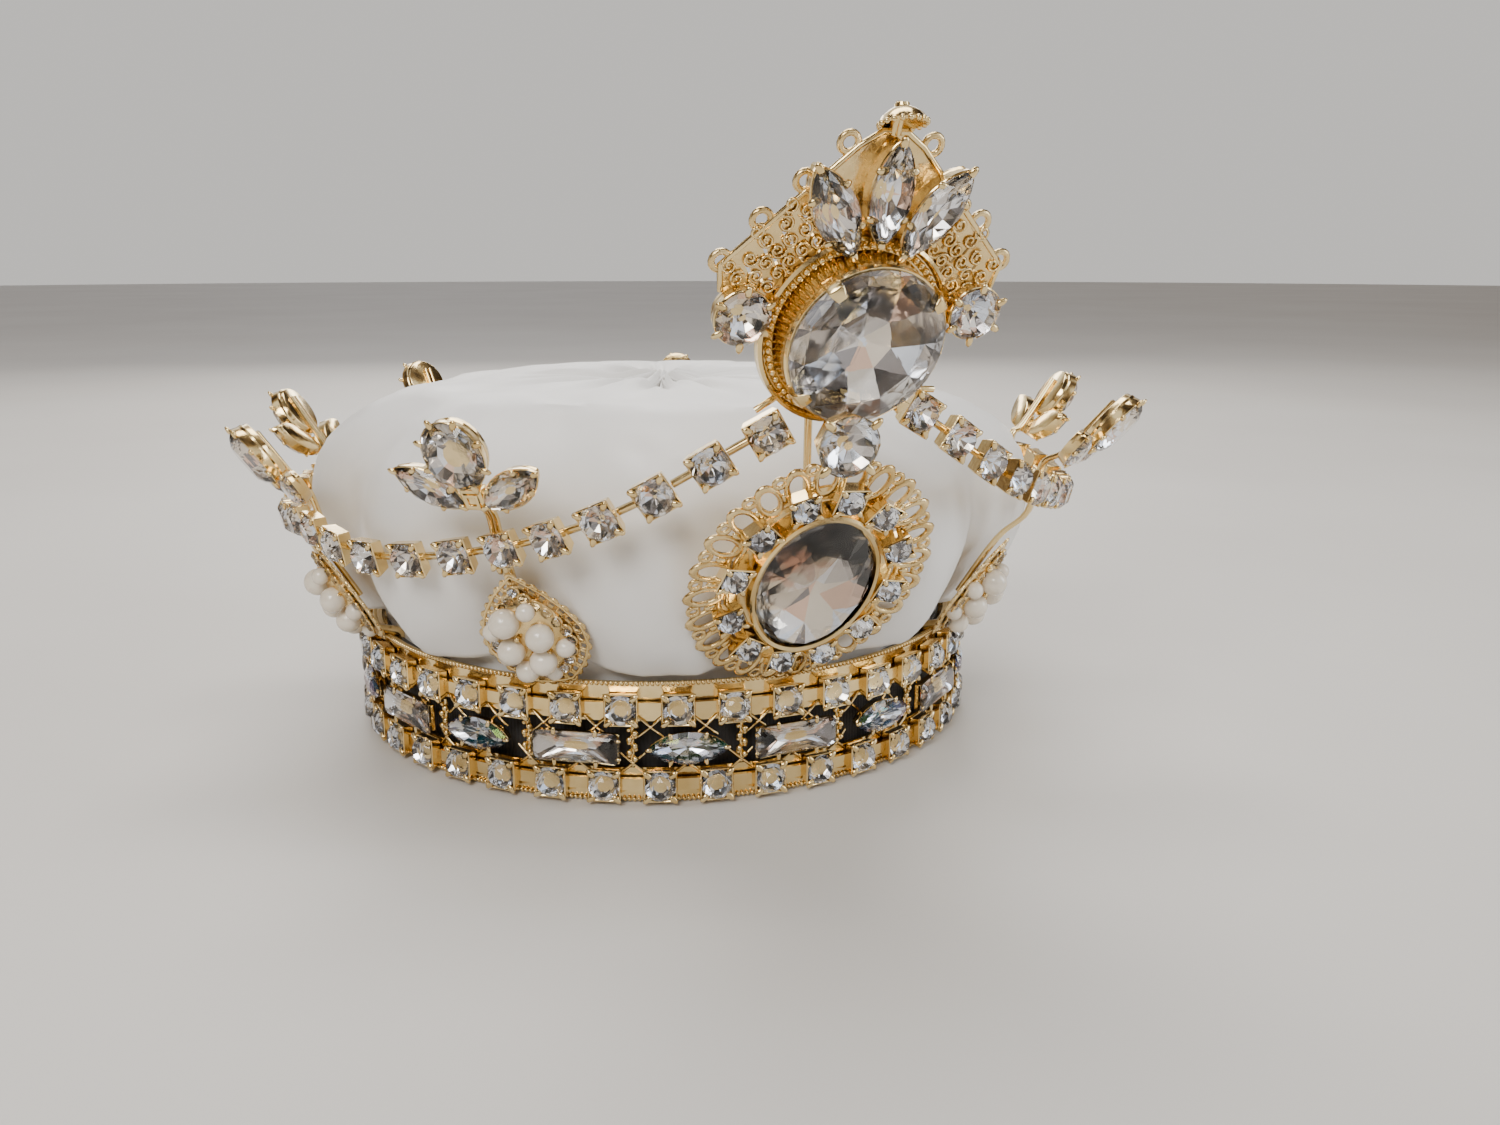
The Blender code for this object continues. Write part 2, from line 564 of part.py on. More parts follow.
def garland_frames():
    """Cup places from one side of the crest round the eight posts to the other, sagging between."""
    left, right = GARLAND_ENDS
    knots = [(left["azimuth"], left["radius"], left["height"])]
    for post in POSTS:
        azimuth = post["azimuth"] if post["azimuth"] < 0 else post["azimuth"] - 360
        knots.append((azimuth, post["hang_r"], post["hang_z"]))
    knots.append((right["azimuth"] - 360, right["radius"], right["height"]))
    filled = [knots[0]]
    for first, second in zip(knots, knots[1:]):
        middle = [(a + b) / 2 for a, b in zip(first, second)]
        filled += [(middle[0], middle[1] + 0.6, middle[2] - GARLAND_SAG), second]
    route = smooth_route(filled, 24)
    angle = np.radians(route[:, 0])
    space = np.stack([route[:, 1] * np.sin(angle), -route[:, 1] * np.cos(angle), route[:, 2]], axis=1)
    travelled = np.concatenate([[0.0], np.cumsum(np.linalg.norm(np.diff(space, axis=0), axis=1))])
    frames = []
    for along in np.linspace(0.0, travelled[-1], GARLAND_STONES):
        point, before, after = (np.array([np.interp(s, travelled, space[:, k]) for k in range(3)])
                                for s in (along, along - 2.0, along + 2.0))
        across = Vector(before - after).normalized()
        outward = Vector((point[0], point[1], 0.0)).normalized()
        lean = Vector((0.0, 0.0, -GARLAND_LEAN))
        out = outward + lean
        out = (out - across * out.dot(across)).normalized()
        up = across.cross(-out).normalized()
        frame = Matrix((across, -out, up)).transposed().to_4x4()
        frame.translation = Vector(point)
        frames.append(frame)
    frames.reverse()
    return frames


def garland(mat):
    outline = ellipse(GARLAND_CUP / cos(pi / 6), GARLAND_CUP, 6)
    bar = (GARLAND_BAR_HALF, GARLAND_BAR_BACK, GARLAND_BAR_FRONT)
    shell = chain(garland_frames(), GARLAND_CUP / 2, outline, GARLAND_DEPTH, GARLAND_RISE, bar, False)
    add("garland", to_mesh("garland", shell), mat)


def around_lace(step, reach):
    t = tau * step / LACE_LOOPS
    return LACE_HALF_WIDTH * reach * cos(t), LACE_HALF_HEIGHT * reach * sin(t)


def medallion_setting(place, mat):
    half = LACE_LOOP_HALF
    scallops = [around_lace(k + side * half, LACE_BULGE) for k in range(LACE_LOOPS) for side in (-1, 1)]
    holes = []
    for k in range(LACE_LOOPS):
        inner = [around_lace(k + side * half, LACE_HOLE_INNER) for side in (-1, 1)]
        outer = [around_lace(k + side * half, LACE_HOLE_OUTER) for side in (1, -1)]
        holes.append(inner + outer)
    plate = pierced(scallops, holes, 0.0, LACE_WALL)
    width, length = (MEDALLION_STONE[key] + MEDALLION_SEAT["margin"] for key in ("width", "length"))
    seat = prism(ellipse(width, length, 16), MEDALLION_SEAT["back"], MEDALLION_SEAT["front"])
    cups = []
    for k in range(MEDALLION_CUPS):
        t = tau * (k + 0.5) / MEDALLION_CUPS
        centre = (MEDALLION_RING_HALF_WIDTH * cos(t), MEDALLION_RING_HALF_HEIGHT * sin(t))
        angle = np.degrees(np.arctan2(centre[1], centre[0]))
        outline = turned(square(MEDALLION_CUP["size"] / 2), angle, *centre)
        heights = (MEDALLION_CUP[key] for key in ("back", "girdle", "table"))
        cups.append(gem(outline, *heights, 0.7, centre))
    hook = rim_hook(place, MEDALLION["azimuth"], *LACE_HOOK)
    add("medallion_setting", fused("medallion_setting", plate, [seat, hook] + cups), mat, place)


def medallion_stones(place, mat):
    stone = MEDALLION_STONE
    outline = ellipse(stone["width"], stone["length"], 14)
    shell = gem(outline, MEDALLION_SEAT["front"] + GAP, stone["girdle"], stone["table"], 0.55)
    add("medallion_stone", to_mesh("medallion_stone", shell), mat, place)
    shell = gem(ellipse(DROP["size"], DROP["size"], 10), 0.0, DROP["girdle"], DROP["table"], 0.6)
    add("drop_stone", to_mesh("drop_stone", shell), mat, station(**DROP_PLACE))


def fan_outline():
    right = [(FAN_HALF_WIDTH, FAN_LOW), (FAN_HALF_WIDTH + 1.0, FAN_SHOULDER), (FAN_HALF_TOP, FAN_TOP)]
    left = [(-x, y) for x, y in reversed(right)]
    return right + [(FAN_TIP_HALF, FAN_TIP), (-FAN_TIP_HALF, FAN_TIP)] + left + list(CREST_FOOT)


def fan_slots():
    """Slanting slots in the open field between the big stone and the fan's edge."""
    x, y = SLOT_HALF_LENGTH, SLOT_HALF_WIDTH
    slots = []
    for side in (-1, 1):
        for column in range(SLOT_COLUMNS):
            for line in range(SLOT_LINES):
                angle = radians(SLOT_ANGLE + SLOT_ANGLE_STEP * column)
                reach = SLOT_REACH + SLOT_LINE_STEP * line
                centre = (side * reach * cos(angle), reach * sin(angle))
                slots.append(turned([(x, -y), (x, y), (-x, y), (-x, -y)], side * SLOT_TURN, *centre))
    return slots


def ring_tab(across, up):
    outer, inner = ellipse(RING_TAB_SIZE, RING_TAB_SIZE, 6), ellipse(RING_TAB_HOLE, RING_TAB_HOLE, 4)
    return pierced(turned(outer, 0, across, up), [turned(inner, 0, across, up)], 0.1, CREST_WALL - 0.1)


def crest_setting(place, mat):
    plate = pierced(fan_outline(), fan_slots(), 0.0, CREST_WALL)
    flange = prism(ellipse(2 * BEZEL_FLANGE_R, 2 * BEZEL_FLANGE_R, 16), 0.3, BEZEL_FLANGE_TOP)
    bezel = prism(ellipse(2 * BEZEL_R, 2 * BEZEL_R, 16), CREST_WALL - 0.1, BEZEL_TOP)
    shells = [flange, bezel]
    navette, button = CREST_NAVETTE, CREST_ROUND
    for stone in CREST_FAN:
        seat = pointed(navette["length"] - 1.6, navette["width"] - 1.4, 6)
        seat = turned(seat, 90 + stone["lean"], stone["across"], stone["up"])
        shells.append(prism(seat, navette["back"], navette["seat"]))
    for side in (-1, 1):
        seat = ellipse(button["size"] - 1.0, button["size"] - 1.0, 8)
        seat = turned(seat, 0, side * button["across"], button["up"])
        shells.append(prism(seat, button["back"], button["seat"]))
    for tab in RING_TABS:
        shells += [ring_tab(side * tab["across"], tab["up"]) for side in (-1, 1)]
    for side in (-1, 1):
        path = [Vector((side * STRUT_HALF_SPREAD, -r, z)) for r, z in STRUT_PATH]
        shells.append(placed(rod(path, STRUT_RADIUS, 5), place.inverted()))
    frames = garland_frames()
    above_cup = GARLAND_CUP / 2 / cos(pi / 6) + LINK_RADIUS + GAP
    for end, side in ((frames[0], 1), (frames[-1], -1)):
        foot = place.inverted() @ (end @ Vector((0.0, -GARLAND_DEPTH / 2, above_cup)))
        shells.append(wire(foot, Vector((side * LINK_HEAD[0], LINK_HEAD[1], LINK_HEAD[2])), LINK_RADIUS, 5))
    add("crest_setting", fused("crest_setting", plate, shells), mat, place)


def crest_stones(place, mat):
    width = 2 * CREST_STONE["radius"]
    shell = gem(ellipse(width, width, 14), BEZEL_TOP + GAP, CREST_STONE["girdle"], CREST_STONE["table"], 0.5)
    add("crest_stone", to_mesh("crest_stone", shell), mat, place)
    navette, button = CREST_NAVETTE, CREST_ROUND
    for stone in CREST_FAN:
        centre = (stone["across"], stone["up"])
        blade = turned(pointed(navette["length"], navette["width"], 8), 90 + stone["lean"], *centre)
        shell = gem(blade, navette["seat"] + GAP, navette["girdle"], navette["table"], 0.55, centre)
        name = f"crest_navette_{stone['label']}"
        add(name, to_mesh(name, shell), mat, place)
    for label, side in (("left", -1), ("right", 1)):
        centre = (side * button["across"], button["up"])
        outline = turned(ellipse(button["size"], button["size"], 8), 0, *centre)
        shell = gem(outline, button["seat"] + GAP, button["girdle"], button["table"], 0.6, centre)
        name = f"crest_round_{label}"
        add(name, to_mesh(name, shell), mat, place)


def crest_finial(place, mat):
    """A small flared cup with a hole, on the point of the fan."""
    hole = ellipse(FINIAL["hole"], FINIAL["hole"], 6)
    cup = pierced(ellipse(FINIAL["size"], FINIAL["size"], 8), [hole], 0.0, FINIAL["wall"])
    seat = Matrix.Translation((0.0, -FINIAL["out"], FINIAL["up"])) @ station(0, 0.0, 0.0, FINIAL["tilt"])
    half, low, high = (FINIAL_NECK[key] for key in ("half_width", "low", "high"))
    outline = [(half, low), (half, high), (-half, high), (-half, low)]
    neck = prism(outline, FINIAL_NECK["back"], FINIAL_NECK["front"])
    add("crest_finial", fused("crest_finial", placed(cup, seat), [neck]), mat, place)


def cap_ring(row, inset, drop):
    points = []
    for k in range(CAP_COLUMNS):
        a = tau * k / CAP_COLUMNS
        lobe = ((1 - cos(CAP_LOBES * a)) / 2) ** 1.15
        r = row["at_post"] + (row["between"] - row["at_post"]) * lobe - inset
        points.append(Vector((r * sin(a) + row["shift"], -r * cos(a), row["height"] - drop)))
    return points


def cap(mat):
    """A padded shell, open below, that swells between the posts and is gathered at its centre."""
    outer = [cap_ring(row, 0.0, 0.0) for row in CAP_RINGS]
    lining = []
    for row in CAP_RINGS:
        if row["lining"]:
            high = row["height"] > CAP_SHOULDER
            lining.append(cap_ring(row, 0.6 * CAP_WALL if high else CAP_WALL, CAP_WALL if high else 0.0))
    points, faces = [], []
    for rings, centre in ((outer, CAP_CENTRE_HEIGHT), (lining, CAP_CENTRE_HEIGHT - CAP_WALL)):
        start = len(points)
        points += [p for ring in rings for p in ring] + [Vector((0.0, 0.0, centre))]
        top = len(points) - 1
        for row in range(len(rings)):
            for k in range(CAP_COLUMNS):
                a = start + row * CAP_COLUMNS + k
                b = start + row * CAP_COLUMNS + (k + 1) % CAP_COLUMNS
                last = row == len(rings) - 1
                faces.append((a, b, top) if last else (a, b, b + CAP_COLUMNS, a + CAP_COLUMNS))
    inside = len(outer) * CAP_COLUMNS + 1
    for k in range(CAP_COLUMNS):
        k2 = (k + 1) % CAP_COLUMNS
        faces.append((k, k2, inside + k2, inside + k))
    add("cap", to_mesh("cap", (points, faces)), mat)


def build():
    clear_scene()
    gold = material("gold_plate", GOLD)
    crystal = material("clear_stone", CRYSTAL)
    pearl_gold = material("pearl_and_gold", PEARL_GOLD)
    satin = material("white_satin", SATIN)
    band(gold)
    for label, row in ROWS.items():
        stone_row(f"{label}_stone_row", row["height"], row["turn"], crystal)
    middle_row(crystal)
    for post in POSTS:
        pearl_leaf(post, pearl_gold)
        spray(post, crystal)
    garland(crystal)
    medallion_place = station(**MEDALLION)
    crest_place = station(**CREST)
    medallion_setting(medallion_place, gold)
    medallion_stones(medallion_place, crystal)
    crest_setting(crest_place, gold)
    crest_stones(crest_place, crystal)
    crest_finial(crest_place, gold)
    cap(satin)


build()
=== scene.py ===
"""The looks of a costume tiara in the form of a small crown.

Every setting, stone, pearl and fold is modelled on a bench and then set at its place on the
crown. On the bench X runs across, Y up and Z out towards the eye, in millimetres. A finished
piece is turned to metres, with its place in its mesh.
"""
from contextlib import contextmanager
from math import atan2, cos, hypot, pi, radians, sin, tau

import bmesh
import bpy
import numpy as np
from mathutils import Euler, Matrix, Vector


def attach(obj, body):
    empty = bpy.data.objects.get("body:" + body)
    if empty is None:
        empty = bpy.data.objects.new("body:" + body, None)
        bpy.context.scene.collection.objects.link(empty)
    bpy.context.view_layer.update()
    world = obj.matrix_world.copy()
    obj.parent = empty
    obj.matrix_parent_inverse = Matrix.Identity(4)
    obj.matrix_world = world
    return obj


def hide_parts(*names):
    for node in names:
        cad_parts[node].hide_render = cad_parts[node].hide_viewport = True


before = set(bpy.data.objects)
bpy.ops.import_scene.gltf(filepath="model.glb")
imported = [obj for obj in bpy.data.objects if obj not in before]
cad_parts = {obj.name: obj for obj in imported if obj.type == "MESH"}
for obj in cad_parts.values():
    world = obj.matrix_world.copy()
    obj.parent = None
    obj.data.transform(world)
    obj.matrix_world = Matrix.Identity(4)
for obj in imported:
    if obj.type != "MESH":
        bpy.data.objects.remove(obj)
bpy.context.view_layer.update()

MM = 0.001
STAND = Matrix.Rotation(radians(90), 4, "X")
chance = np.random.default_rng(11)

# The band and its rows, as in the frame
BAND_R, BAND_WALL, BAND_TOP = 87.0, 1.2, 31.2
ROW_STONES, ROW_R = 40, 87.3
ROWS = {"upper": {"height": 25.3, "turn": 1.5}, "lower": {"height": 5.2, "turn": -1.5}}
MIDDLE_STONES, MIDDLE_TURN, MIDDLE_HEIGHT = 20, 3.0, 15.2

# The leaves and sprays on the eight posts
LEAF_FOOT_R, LEAF_FOOT_Z, LEAF_LENGTH, LEAF_WIDTH, LEAF_WALL = 88.7, 31.6, 33.0, 28.6, 1.1
LEAF_WIDTHS = (0.42, 0.80, 0.98, 0.97, 0.78, 0.45)
POSTS = (
    {"name": "l1", "azimuth": -40, "leaf_turn": 3.6, "leaf_lean": 22, "leaf_roll": 9, "hang_r": 105.0,
     "hang_z": 69.0, "node_r": 110.5, "node_z": 82.0, "spray_lean": 25, "spray_roll": 2},
    {"name": "l2", "azimuth": -80, "leaf_turn": 0.0, "leaf_lean": 30, "leaf_roll": 6, "hang_r": 105.0,
     "hang_z": 66.5, "node_r": 107.5, "node_z": 75.8, "spray_lean": 34, "spray_roll": -4},
    {"name": "l3", "azimuth": -120, "leaf_turn": 0.0, "leaf_lean": 26, "leaf_roll": -5, "hang_r": 106.5,
     "hang_z": 67.4, "node_r": 109.0, "node_z": 76.2, "spray_lean": 34, "spray_roll": 5},
    {"name": "l4", "azimuth": -154, "leaf_turn": 0.0, "leaf_lean": 26, "leaf_roll": 6, "hang_r": 110.0,
     "hang_z": 69.0, "node_r": 114.0, "node_z": 78.4, "spray_lean": 28, "spray_roll": -6},
    {"name": "r4", "azimuth": 160, "leaf_turn": 0.0, "leaf_lean": 26, "leaf_roll": -6, "hang_r": 111.0,
     "hang_z": 69.0, "node_r": 115.0, "node_z": 78.4, "spray_lean": 30, "spray_roll": 6},
    {"name": "r3", "azimuth": 120, "leaf_turn": 0.0, "leaf_lean": 26, "leaf_roll": 5, "hang_r": 112.0,
     "hang_z": 70.0, "node_r": 115.5, "node_z": 79.4, "spray_lean": 32, "spray_roll": -5},
    {"name": "r2", "azimuth": 80, "leaf_turn": 0.0, "leaf_lean": 26, "leaf_roll": -6, "hang_r": 113.0,
     "hang_z": 71.5, "node_r": 116.5, "node_z": 81.0, "spray_lean": 34, "spray_roll": 5},
    {"name": "r1", "azimuth": 40, "leaf_turn": 0.0, "leaf_lean": 33, "leaf_roll": -8, "hang_r": 116.5,
     "hang_z": 74.5, "node_r": 122.5, "node_z": 85.0, "spray_lean": 41, "spray_roll": -6},
)
LEAF_PEARLS = (
    {"across": -3.6, "up": 6.0, "size": 7.4},
    {"across": 4.4, "up": 1.4, "size": 7.0},
    {"across": -4.6, "up": -2.2, "size": 6.8},
    {"across": 2.6, "up": -6.0, "size": 6.8},
    {"across": -3.2, "up": -9.2, "size": 6.0},
    {"across": 2.6, "up": 8.2, "size": 4.6},
    {"across": -9.0, "up": 2.2, "size": 4.8},
    {"across": 8.6, "up": -3.6, "size": 4.8},
    {"across": -8.4, "up": -6.2, "size": 4.6},
    {"across": 2.4, "up": -11.6, "size": 4.4},
)

# The garland
GARLAND_STONES, GARLAND_CUP, GARLAND_LEAN, GARLAND_SAG = 51, 10.4, 0.25, 4.0
GARLAND_ENDS = (
    {"azimuth": -7.8, "radius": 120.5, "height": 98.5},
    {"azimuth": 9.4, "radius": 120.5, "height": 101.0},
)

# The medallion, the drop and the crest
MEDALLION = {"azimuth": 0, "radius": 106.8, "height": 62.2, "lean": 32.0, "roll": 7.0}
LACE_HALF_WIDTH, LACE_HALF_HEIGHT, LACE_LOOPS = 28.4, 34.2, 24
MEDALLION_RING = (20.6, 26.2)
MEDALLION_CUPS = 12
MEDALLION_STONE = {"width": 28.6, "length": 41.0, "girdle": 4.0, "table": 7.4}
DROP_PLACE = {"azimuth": -1.8, "radius": 131.2, "height": 97.2, "lean": 15.0}
CREST = {"azimuth": 0, "radius": 125.6, "height": 119.8, "lean": 24.4, "roll": 0.0}
FAN_EDGE = ((30.5, 9.0), (31.5, 14.5), (7.0, 38.5), (2.6, 41.4))
CREST_FOOT = (14.0, -8.0)
CREST_FAN = (
    {"label": "left", "across": -10.9, "up": 26.8, "lean": 32.0},
    {"label": "middle", "across": 0.0, "up": 30.6, "lean": 0.0},
    {"label": "right", "across": 10.9, "up": 26.8, "lean": -32.0},
)
CREST_ROUND = {"across": 26.4, "up": 4.8, "radius": 6.3}
RING_TABS = ((31.3, 15.2), (24.2, 23.6), (16.6, 31.4), (9.0, 39.0))
STRUT_PATH = ((114.6, 77.3), (115.4, 100.2), (122.1, 112.2))
LINK_HEAD = (13.0, -14.3, 1.3)

# The padded cap: height, then radius at a post and halfway between two posts
CAP_RINGS = (
    {"height": 3.0, "at_post": 82.9, "between": 82.9, "shift": 0.0},
    {"height": 33.0, "at_post": 83.1, "between": 84.0, "shift": 0.0},
    {"height": 38.0, "at_post": 85.6, "between": 91.0, "shift": 0.6},
    {"height": 47.0, "at_post": 89.0, "between": 98.0, "shift": 1.8},
    {"height": 60.0, "at_post": 92.0, "between": 101.4, "shift": 3.0},
    {"height": 73.0, "at_post": 92.5, "between": 101.4, "shift": 3.2},
    {"height": 84.0, "at_post": 89.5, "between": 97.0, "shift": 3.2},
    {"height": 93.0, "at_post": 80.0, "between": 86.0, "shift": 2.6},
    {"height": 100.5, "at_post": 62.0, "between": 67.0, "shift": 1.6},
    {"height": 104.0, "at_post": 41.0, "between": 44.0, "shift": 0.8},
    {"height": 103.0, "at_post": 19.0, "between": 20.0, "shift": 0.0},
    {"height": 98.0, "at_post": 0.6, "between": 0.6, "shift": 0.0},
)
CAP_LOBES = 9


# Picking, working on and joining pieces

def pick(*things):
    bpy.ops.object.select_all(action="DESELECT")
    for thing in things:
        thing.select_set(True)
    bpy.context.view_layer.objects.active = things[0]


def settle():
    """The primitive just added, with its size and place in its mesh."""
    thing = bpy.context.object
    pick(thing)
    bpy.ops.object.transform_apply(location=True, rotation=True, scale=True)
    return thing


@contextmanager
def at_work(thing, kind="FACE"):
    pick(thing)
    bpy.ops.object.mode_set(mode="EDIT")
    bpy.ops.mesh.select_mode(type=kind)
    bpy.ops.mesh.select_all(action="DESELECT")
    yield
    bpy.ops.object.mode_set(mode="OBJECT")


def choose(thing, test, what="faces"):
    """Selects the faces, edges or vertices that pass a test of place or normal."""
    bpy.ops.mesh.select_all(action="DESELECT")
    work = bmesh.from_edit_mesh(thing.data)
    for item in getattr(work, what):
        if test(item):
            item.select_set(True)
    work.select_flush_mode()
    bmesh.update_edit_mesh(thing.data)


def push(distance):
    bpy.ops.mesh.extrude_region_move(TRANSFORM_OT_translate={"value": (0.0, 0.0, distance)})


def apply_all(thing):
    pick(thing)
    for modifier in list(thing.modifiers):
        bpy.ops.object.modifier_apply(modifier=modifier.name)


def soften(thing, width, segments=2, angle=32.0):
    edge = thing.modifiers.new("soft_edge", "BEVEL")
    edge.width, edge.segments, edge.limit_method, edge.angle_limit = width, segments, "ANGLE", radians(angle)
    apply_all(thing)
    return thing


def smooth(thing, angle=38.0):
    pick(thing)
    bpy.ops.object.shade_smooth_by_angle(angle=radians(angle))
    return thing


def moved(thing, matrix):
    thing.data.transform(matrix)
    if matrix.determinant() < 0:
        with at_work(thing):
            bpy.ops.mesh.select_all(action="SELECT")
            bpy.ops.mesh.normals_make_consistent(inside=False)
    return thing


def copies(model, places, keep=False):
    """A copy of the model at each place, each with its own mesh."""
    made = []
    for place in places:
        twin = model.copy()
        twin.data = model.data.copy()
        bpy.context.collection.objects.link(twin)
        twin.data.transform(place)
        made.append(twin)
    if not keep:
        bpy.data.objects.remove(model, do_unlink=True)
    return made


def joined(things):
    pick(*things)
    if len(things) > 1:
        bpy.ops.object.join()
    return bpy.context.object


def dressed(thing, *materials):
    thing.data.materials.clear()
    for material in materials:
        thing.data.materials.append(material)
    return thing


def finished(thing, name, stands_for=()):
    """Names a piece, turns it to metres and lets it ride on the crown."""
    thing.name = name
    thing.data.name = name
    thing.data.transform(Matrix.Scale(MM, 4))
    thing.data.update()
    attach(thing, "root")
    if stands_for:
        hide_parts(*stands_for)
    return thing


def station(azimuth, radius, height, lean=0.0, roll=0.0):
    """The local axes of a place on the crown, leaning outwards from the vertical."""
    a = radians(azimuth)
    place = Matrix.Translation((radius * sin(a), -radius * cos(a), height))
    return place @ Euler((radians(lean), radians(-roll), a), "YXZ").to_matrix().to_4x4()


def bench(*place):
    """From the bench to a station, so that the piece's face looks outwards."""
    return station(*place) @ STAND


def flat_turn(degrees, across=0.0, up=0.0, out=0.0):
    """A turn and a shift on the bench."""
    return Matrix.Translation((across, up, out)) @ Matrix.Rotation(radians(degrees), 4, "Z")


# Materials

def new_material(name):
    made = bpy.data.materials.new(name)
    made.use_nodes = True
    nodes, links = made.node_tree.nodes, made.node_tree.links
    return made, nodes, links, nodes["Principled BSDF"]


def object_coordinates(nodes):
    return nodes.new("ShaderNodeTexCoord").outputs["Object"]


def ramp(nodes, links, source, stops, steps=False):
    made = nodes.new("ShaderNodeValToRGB")
    made.color_ramp.interpolation = "CONSTANT" if steps else "LINEAR"
    while len(made.color_ramp.elements) < len(stops):
        made.color_ramp.elements.new(0.5)
    for element, (place, colour) in zip(made.color_ramp.elements, stops):
        element.position = place
        element.color = (*colour, 1.0) if len(colour) == 3 else colour
    links.new(source, made.inputs["Fac"])
    return made.outputs["Color"]


def noise(nodes, links, scale, detail=2.0, stretch=None):
    made = nodes.new("ShaderNodeTexNoise")
    made.inputs["Scale"].default_value = scale
    made.inputs["Detail"].default_value = detail
    source = object_coordinates(nodes)
    if stretch:
        mapping = nodes.new("ShaderNodeMapping")
        mapping.inputs["Scale"].default_value = stretch
        links.new(source, mapping.inputs["Vector"])
        source = mapping.outputs["Vector"]
    links.new(source, made.inputs["Vector"])
    return made.outputs["Fac"]


def grey(low, high, start=0.3, end=0.7):
    return ((start, (low,) * 3), (end, (high,) * 3))


def bump(nodes, links, shader, height, strength, distance):
    made = nodes.new("ShaderNodeBump")
    made.inputs["Strength"].default_value = strength
    made.inputs["Distance"].default_value = distance
    links.new(height, made.inputs["Height"])
    links.new(made.outputs["Normal"], shader.inputs["Normal"])


def gold_material(name, pale, deep, rough_low, rough_high, dent):
    made, nodes, links, shader = new_material(name)
    shader.inputs["Metallic"].default_value = 1.0
    tone = ramp(nodes, links, noise(nodes, links, 90.0, 3.0), ((0.32, deep), (0.62, pale)))
    links.new(tone, shader.inputs["Base Color"])
    wear = ramp(nodes, links, noise(nodes, links, 420.0, 4.0), grey(rough_low, rough_high))
    links.new(wear, shader.inputs["Roughness"])
    bump(nodes, links, shader, noise(nodes, links, 520.0, 3.0), dent, 0.0003)
    return made


def glass_material(name, tint, film=0.0):
    made, nodes, links, shader = new_material(name)
    shader.inputs["IOR"].default_value = 1.52
    shader.inputs["Transmission Weight"].default_value = 1.0
    shader.inputs["Thin Film Thickness"].default_value = film
    tone = ramp(nodes, links, noise(nodes, links, 130.0, 1.0), ((0.35, tint), (0.65, (0.99, 0.99, 1.0))))
    links.new(tone, shader.inputs["Base Color"])
    scratches = ramp(nodes, links, noise(nodes, links, 800.0, 5.0), grey(0.0, 0.07, 0.52, 0.75))
    links.new(scratches, shader.inputs["Roughness"])
    return made


def painted_reflection_foil(name, stops):
    """The mirror foil behind a stone, whose tint steps from facet to facet as painted reflections of a room."""
    made, nodes, links, shader = new_material(name)
    facet = nodes.new("ShaderNodeAttribute")
    facet.attribute_name = "facet"
    shader.inputs["Metallic"].default_value = 1.0
    links.new(ramp(nodes, links, facet.outputs["Fac"], stops, True), shader.inputs["Base Color"])
    wear = ramp(nodes, links, noise(nodes, links, 300.0, 3.0), grey(0.04, 0.16))
    links.new(wear, shader.inputs["Roughness"])
    return made


def pearl_material():
    made, nodes, links, shader = new_material("cream_pearl")
    # The base colour is painted by viewing angle: painted shading gives lighter cream facing the eye and darker cream
    # between, with a painted pink sheen at the rim.
    rim = nodes.new("ShaderNodeLayerWeight")
    rim.inputs["Blend"].default_value = 0.35
    painted_facing_sheen = ramp(nodes, links, rim.outputs["Facing"],
                 ((0.0, (0.90, 0.84, 0.74)), (0.55, (0.84, 0.75, 0.62)), (1.0, (0.93, 0.84, 0.80))))
    cloud = ramp(nodes, links, noise(nodes, links, 140.0, 2.0), ((0.3, (0.90, 0.88, 0.84)), (0.7, (1.0, 0.99, 0.96))))
    mix = nodes.new("ShaderNodeMix")
    mix.data_type, mix.blend_type = "RGBA", "MULTIPLY"
    mix.inputs["Factor"].default_value = 1.0
    links.new(painted_facing_sheen, mix.inputs["A"])
    links.new(cloud, mix.inputs["B"])
    links.new(mix.outputs["Result"], shader.inputs["Base Color"])
    links.new(ramp(nodes, links, noise(nodes, links, 600.0, 3.0), grey(0.16, 0.30)), shader.inputs["Roughness"])
    shader.inputs["Coat Weight"].default_value = 0.8
    shader.inputs["Coat Roughness"].default_value = 0.06
    shader.inputs["Subsurface Weight"].default_value = 0.12
    shader.inputs["Subsurface Radius"].default_value = (0.002, 0.0014, 0.001)
    return made


def cloth_material(name, low, high, roughness, sheen, thread, relief):
    """A woven cloth: two crossed sets of threads, a soft sheen and uneven tone."""
    made, nodes, links, shader = new_material(name)
    links.new(ramp(nodes, links, noise(nodes, links, 26.0, 4.0), ((0.3, low), (0.7, high))),
              shader.inputs["Base Color"])
    shader.inputs["Sheen Weight"].default_value = sheen
    shader.inputs["Sheen Roughness"].default_value = 0.4
    uv = nodes.new("ShaderNodeUVMap")
    uv.uv_map = "cloth"
    threads = []
    for direction in ("X", "Y"):
        wave = nodes.new("ShaderNodeTexWave")
        wave.bands_direction = direction
        wave.inputs["Scale"].default_value = thread
        wave.inputs["Distortion"].default_value = 0.6
        links.new(uv.outputs["UV"], wave.inputs["Vector"])
        threads.append(wave.outputs["Fac"])
    weave = nodes.new("ShaderNodeMath")
    weave.operation = "MAXIMUM"
    links.new(threads[0], weave.inputs[0])
    links.new(threads[1], weave.inputs[1])
    links.new(ramp(nodes, links, noise(nodes, links, 70.0, 3.0), grey(roughness - 0.06, roughness + 0.08)),
              shader.inputs["Roughness"])
    bump(nodes, links, shader, weave.outputs["Value"], relief, 0.0001)
    return made


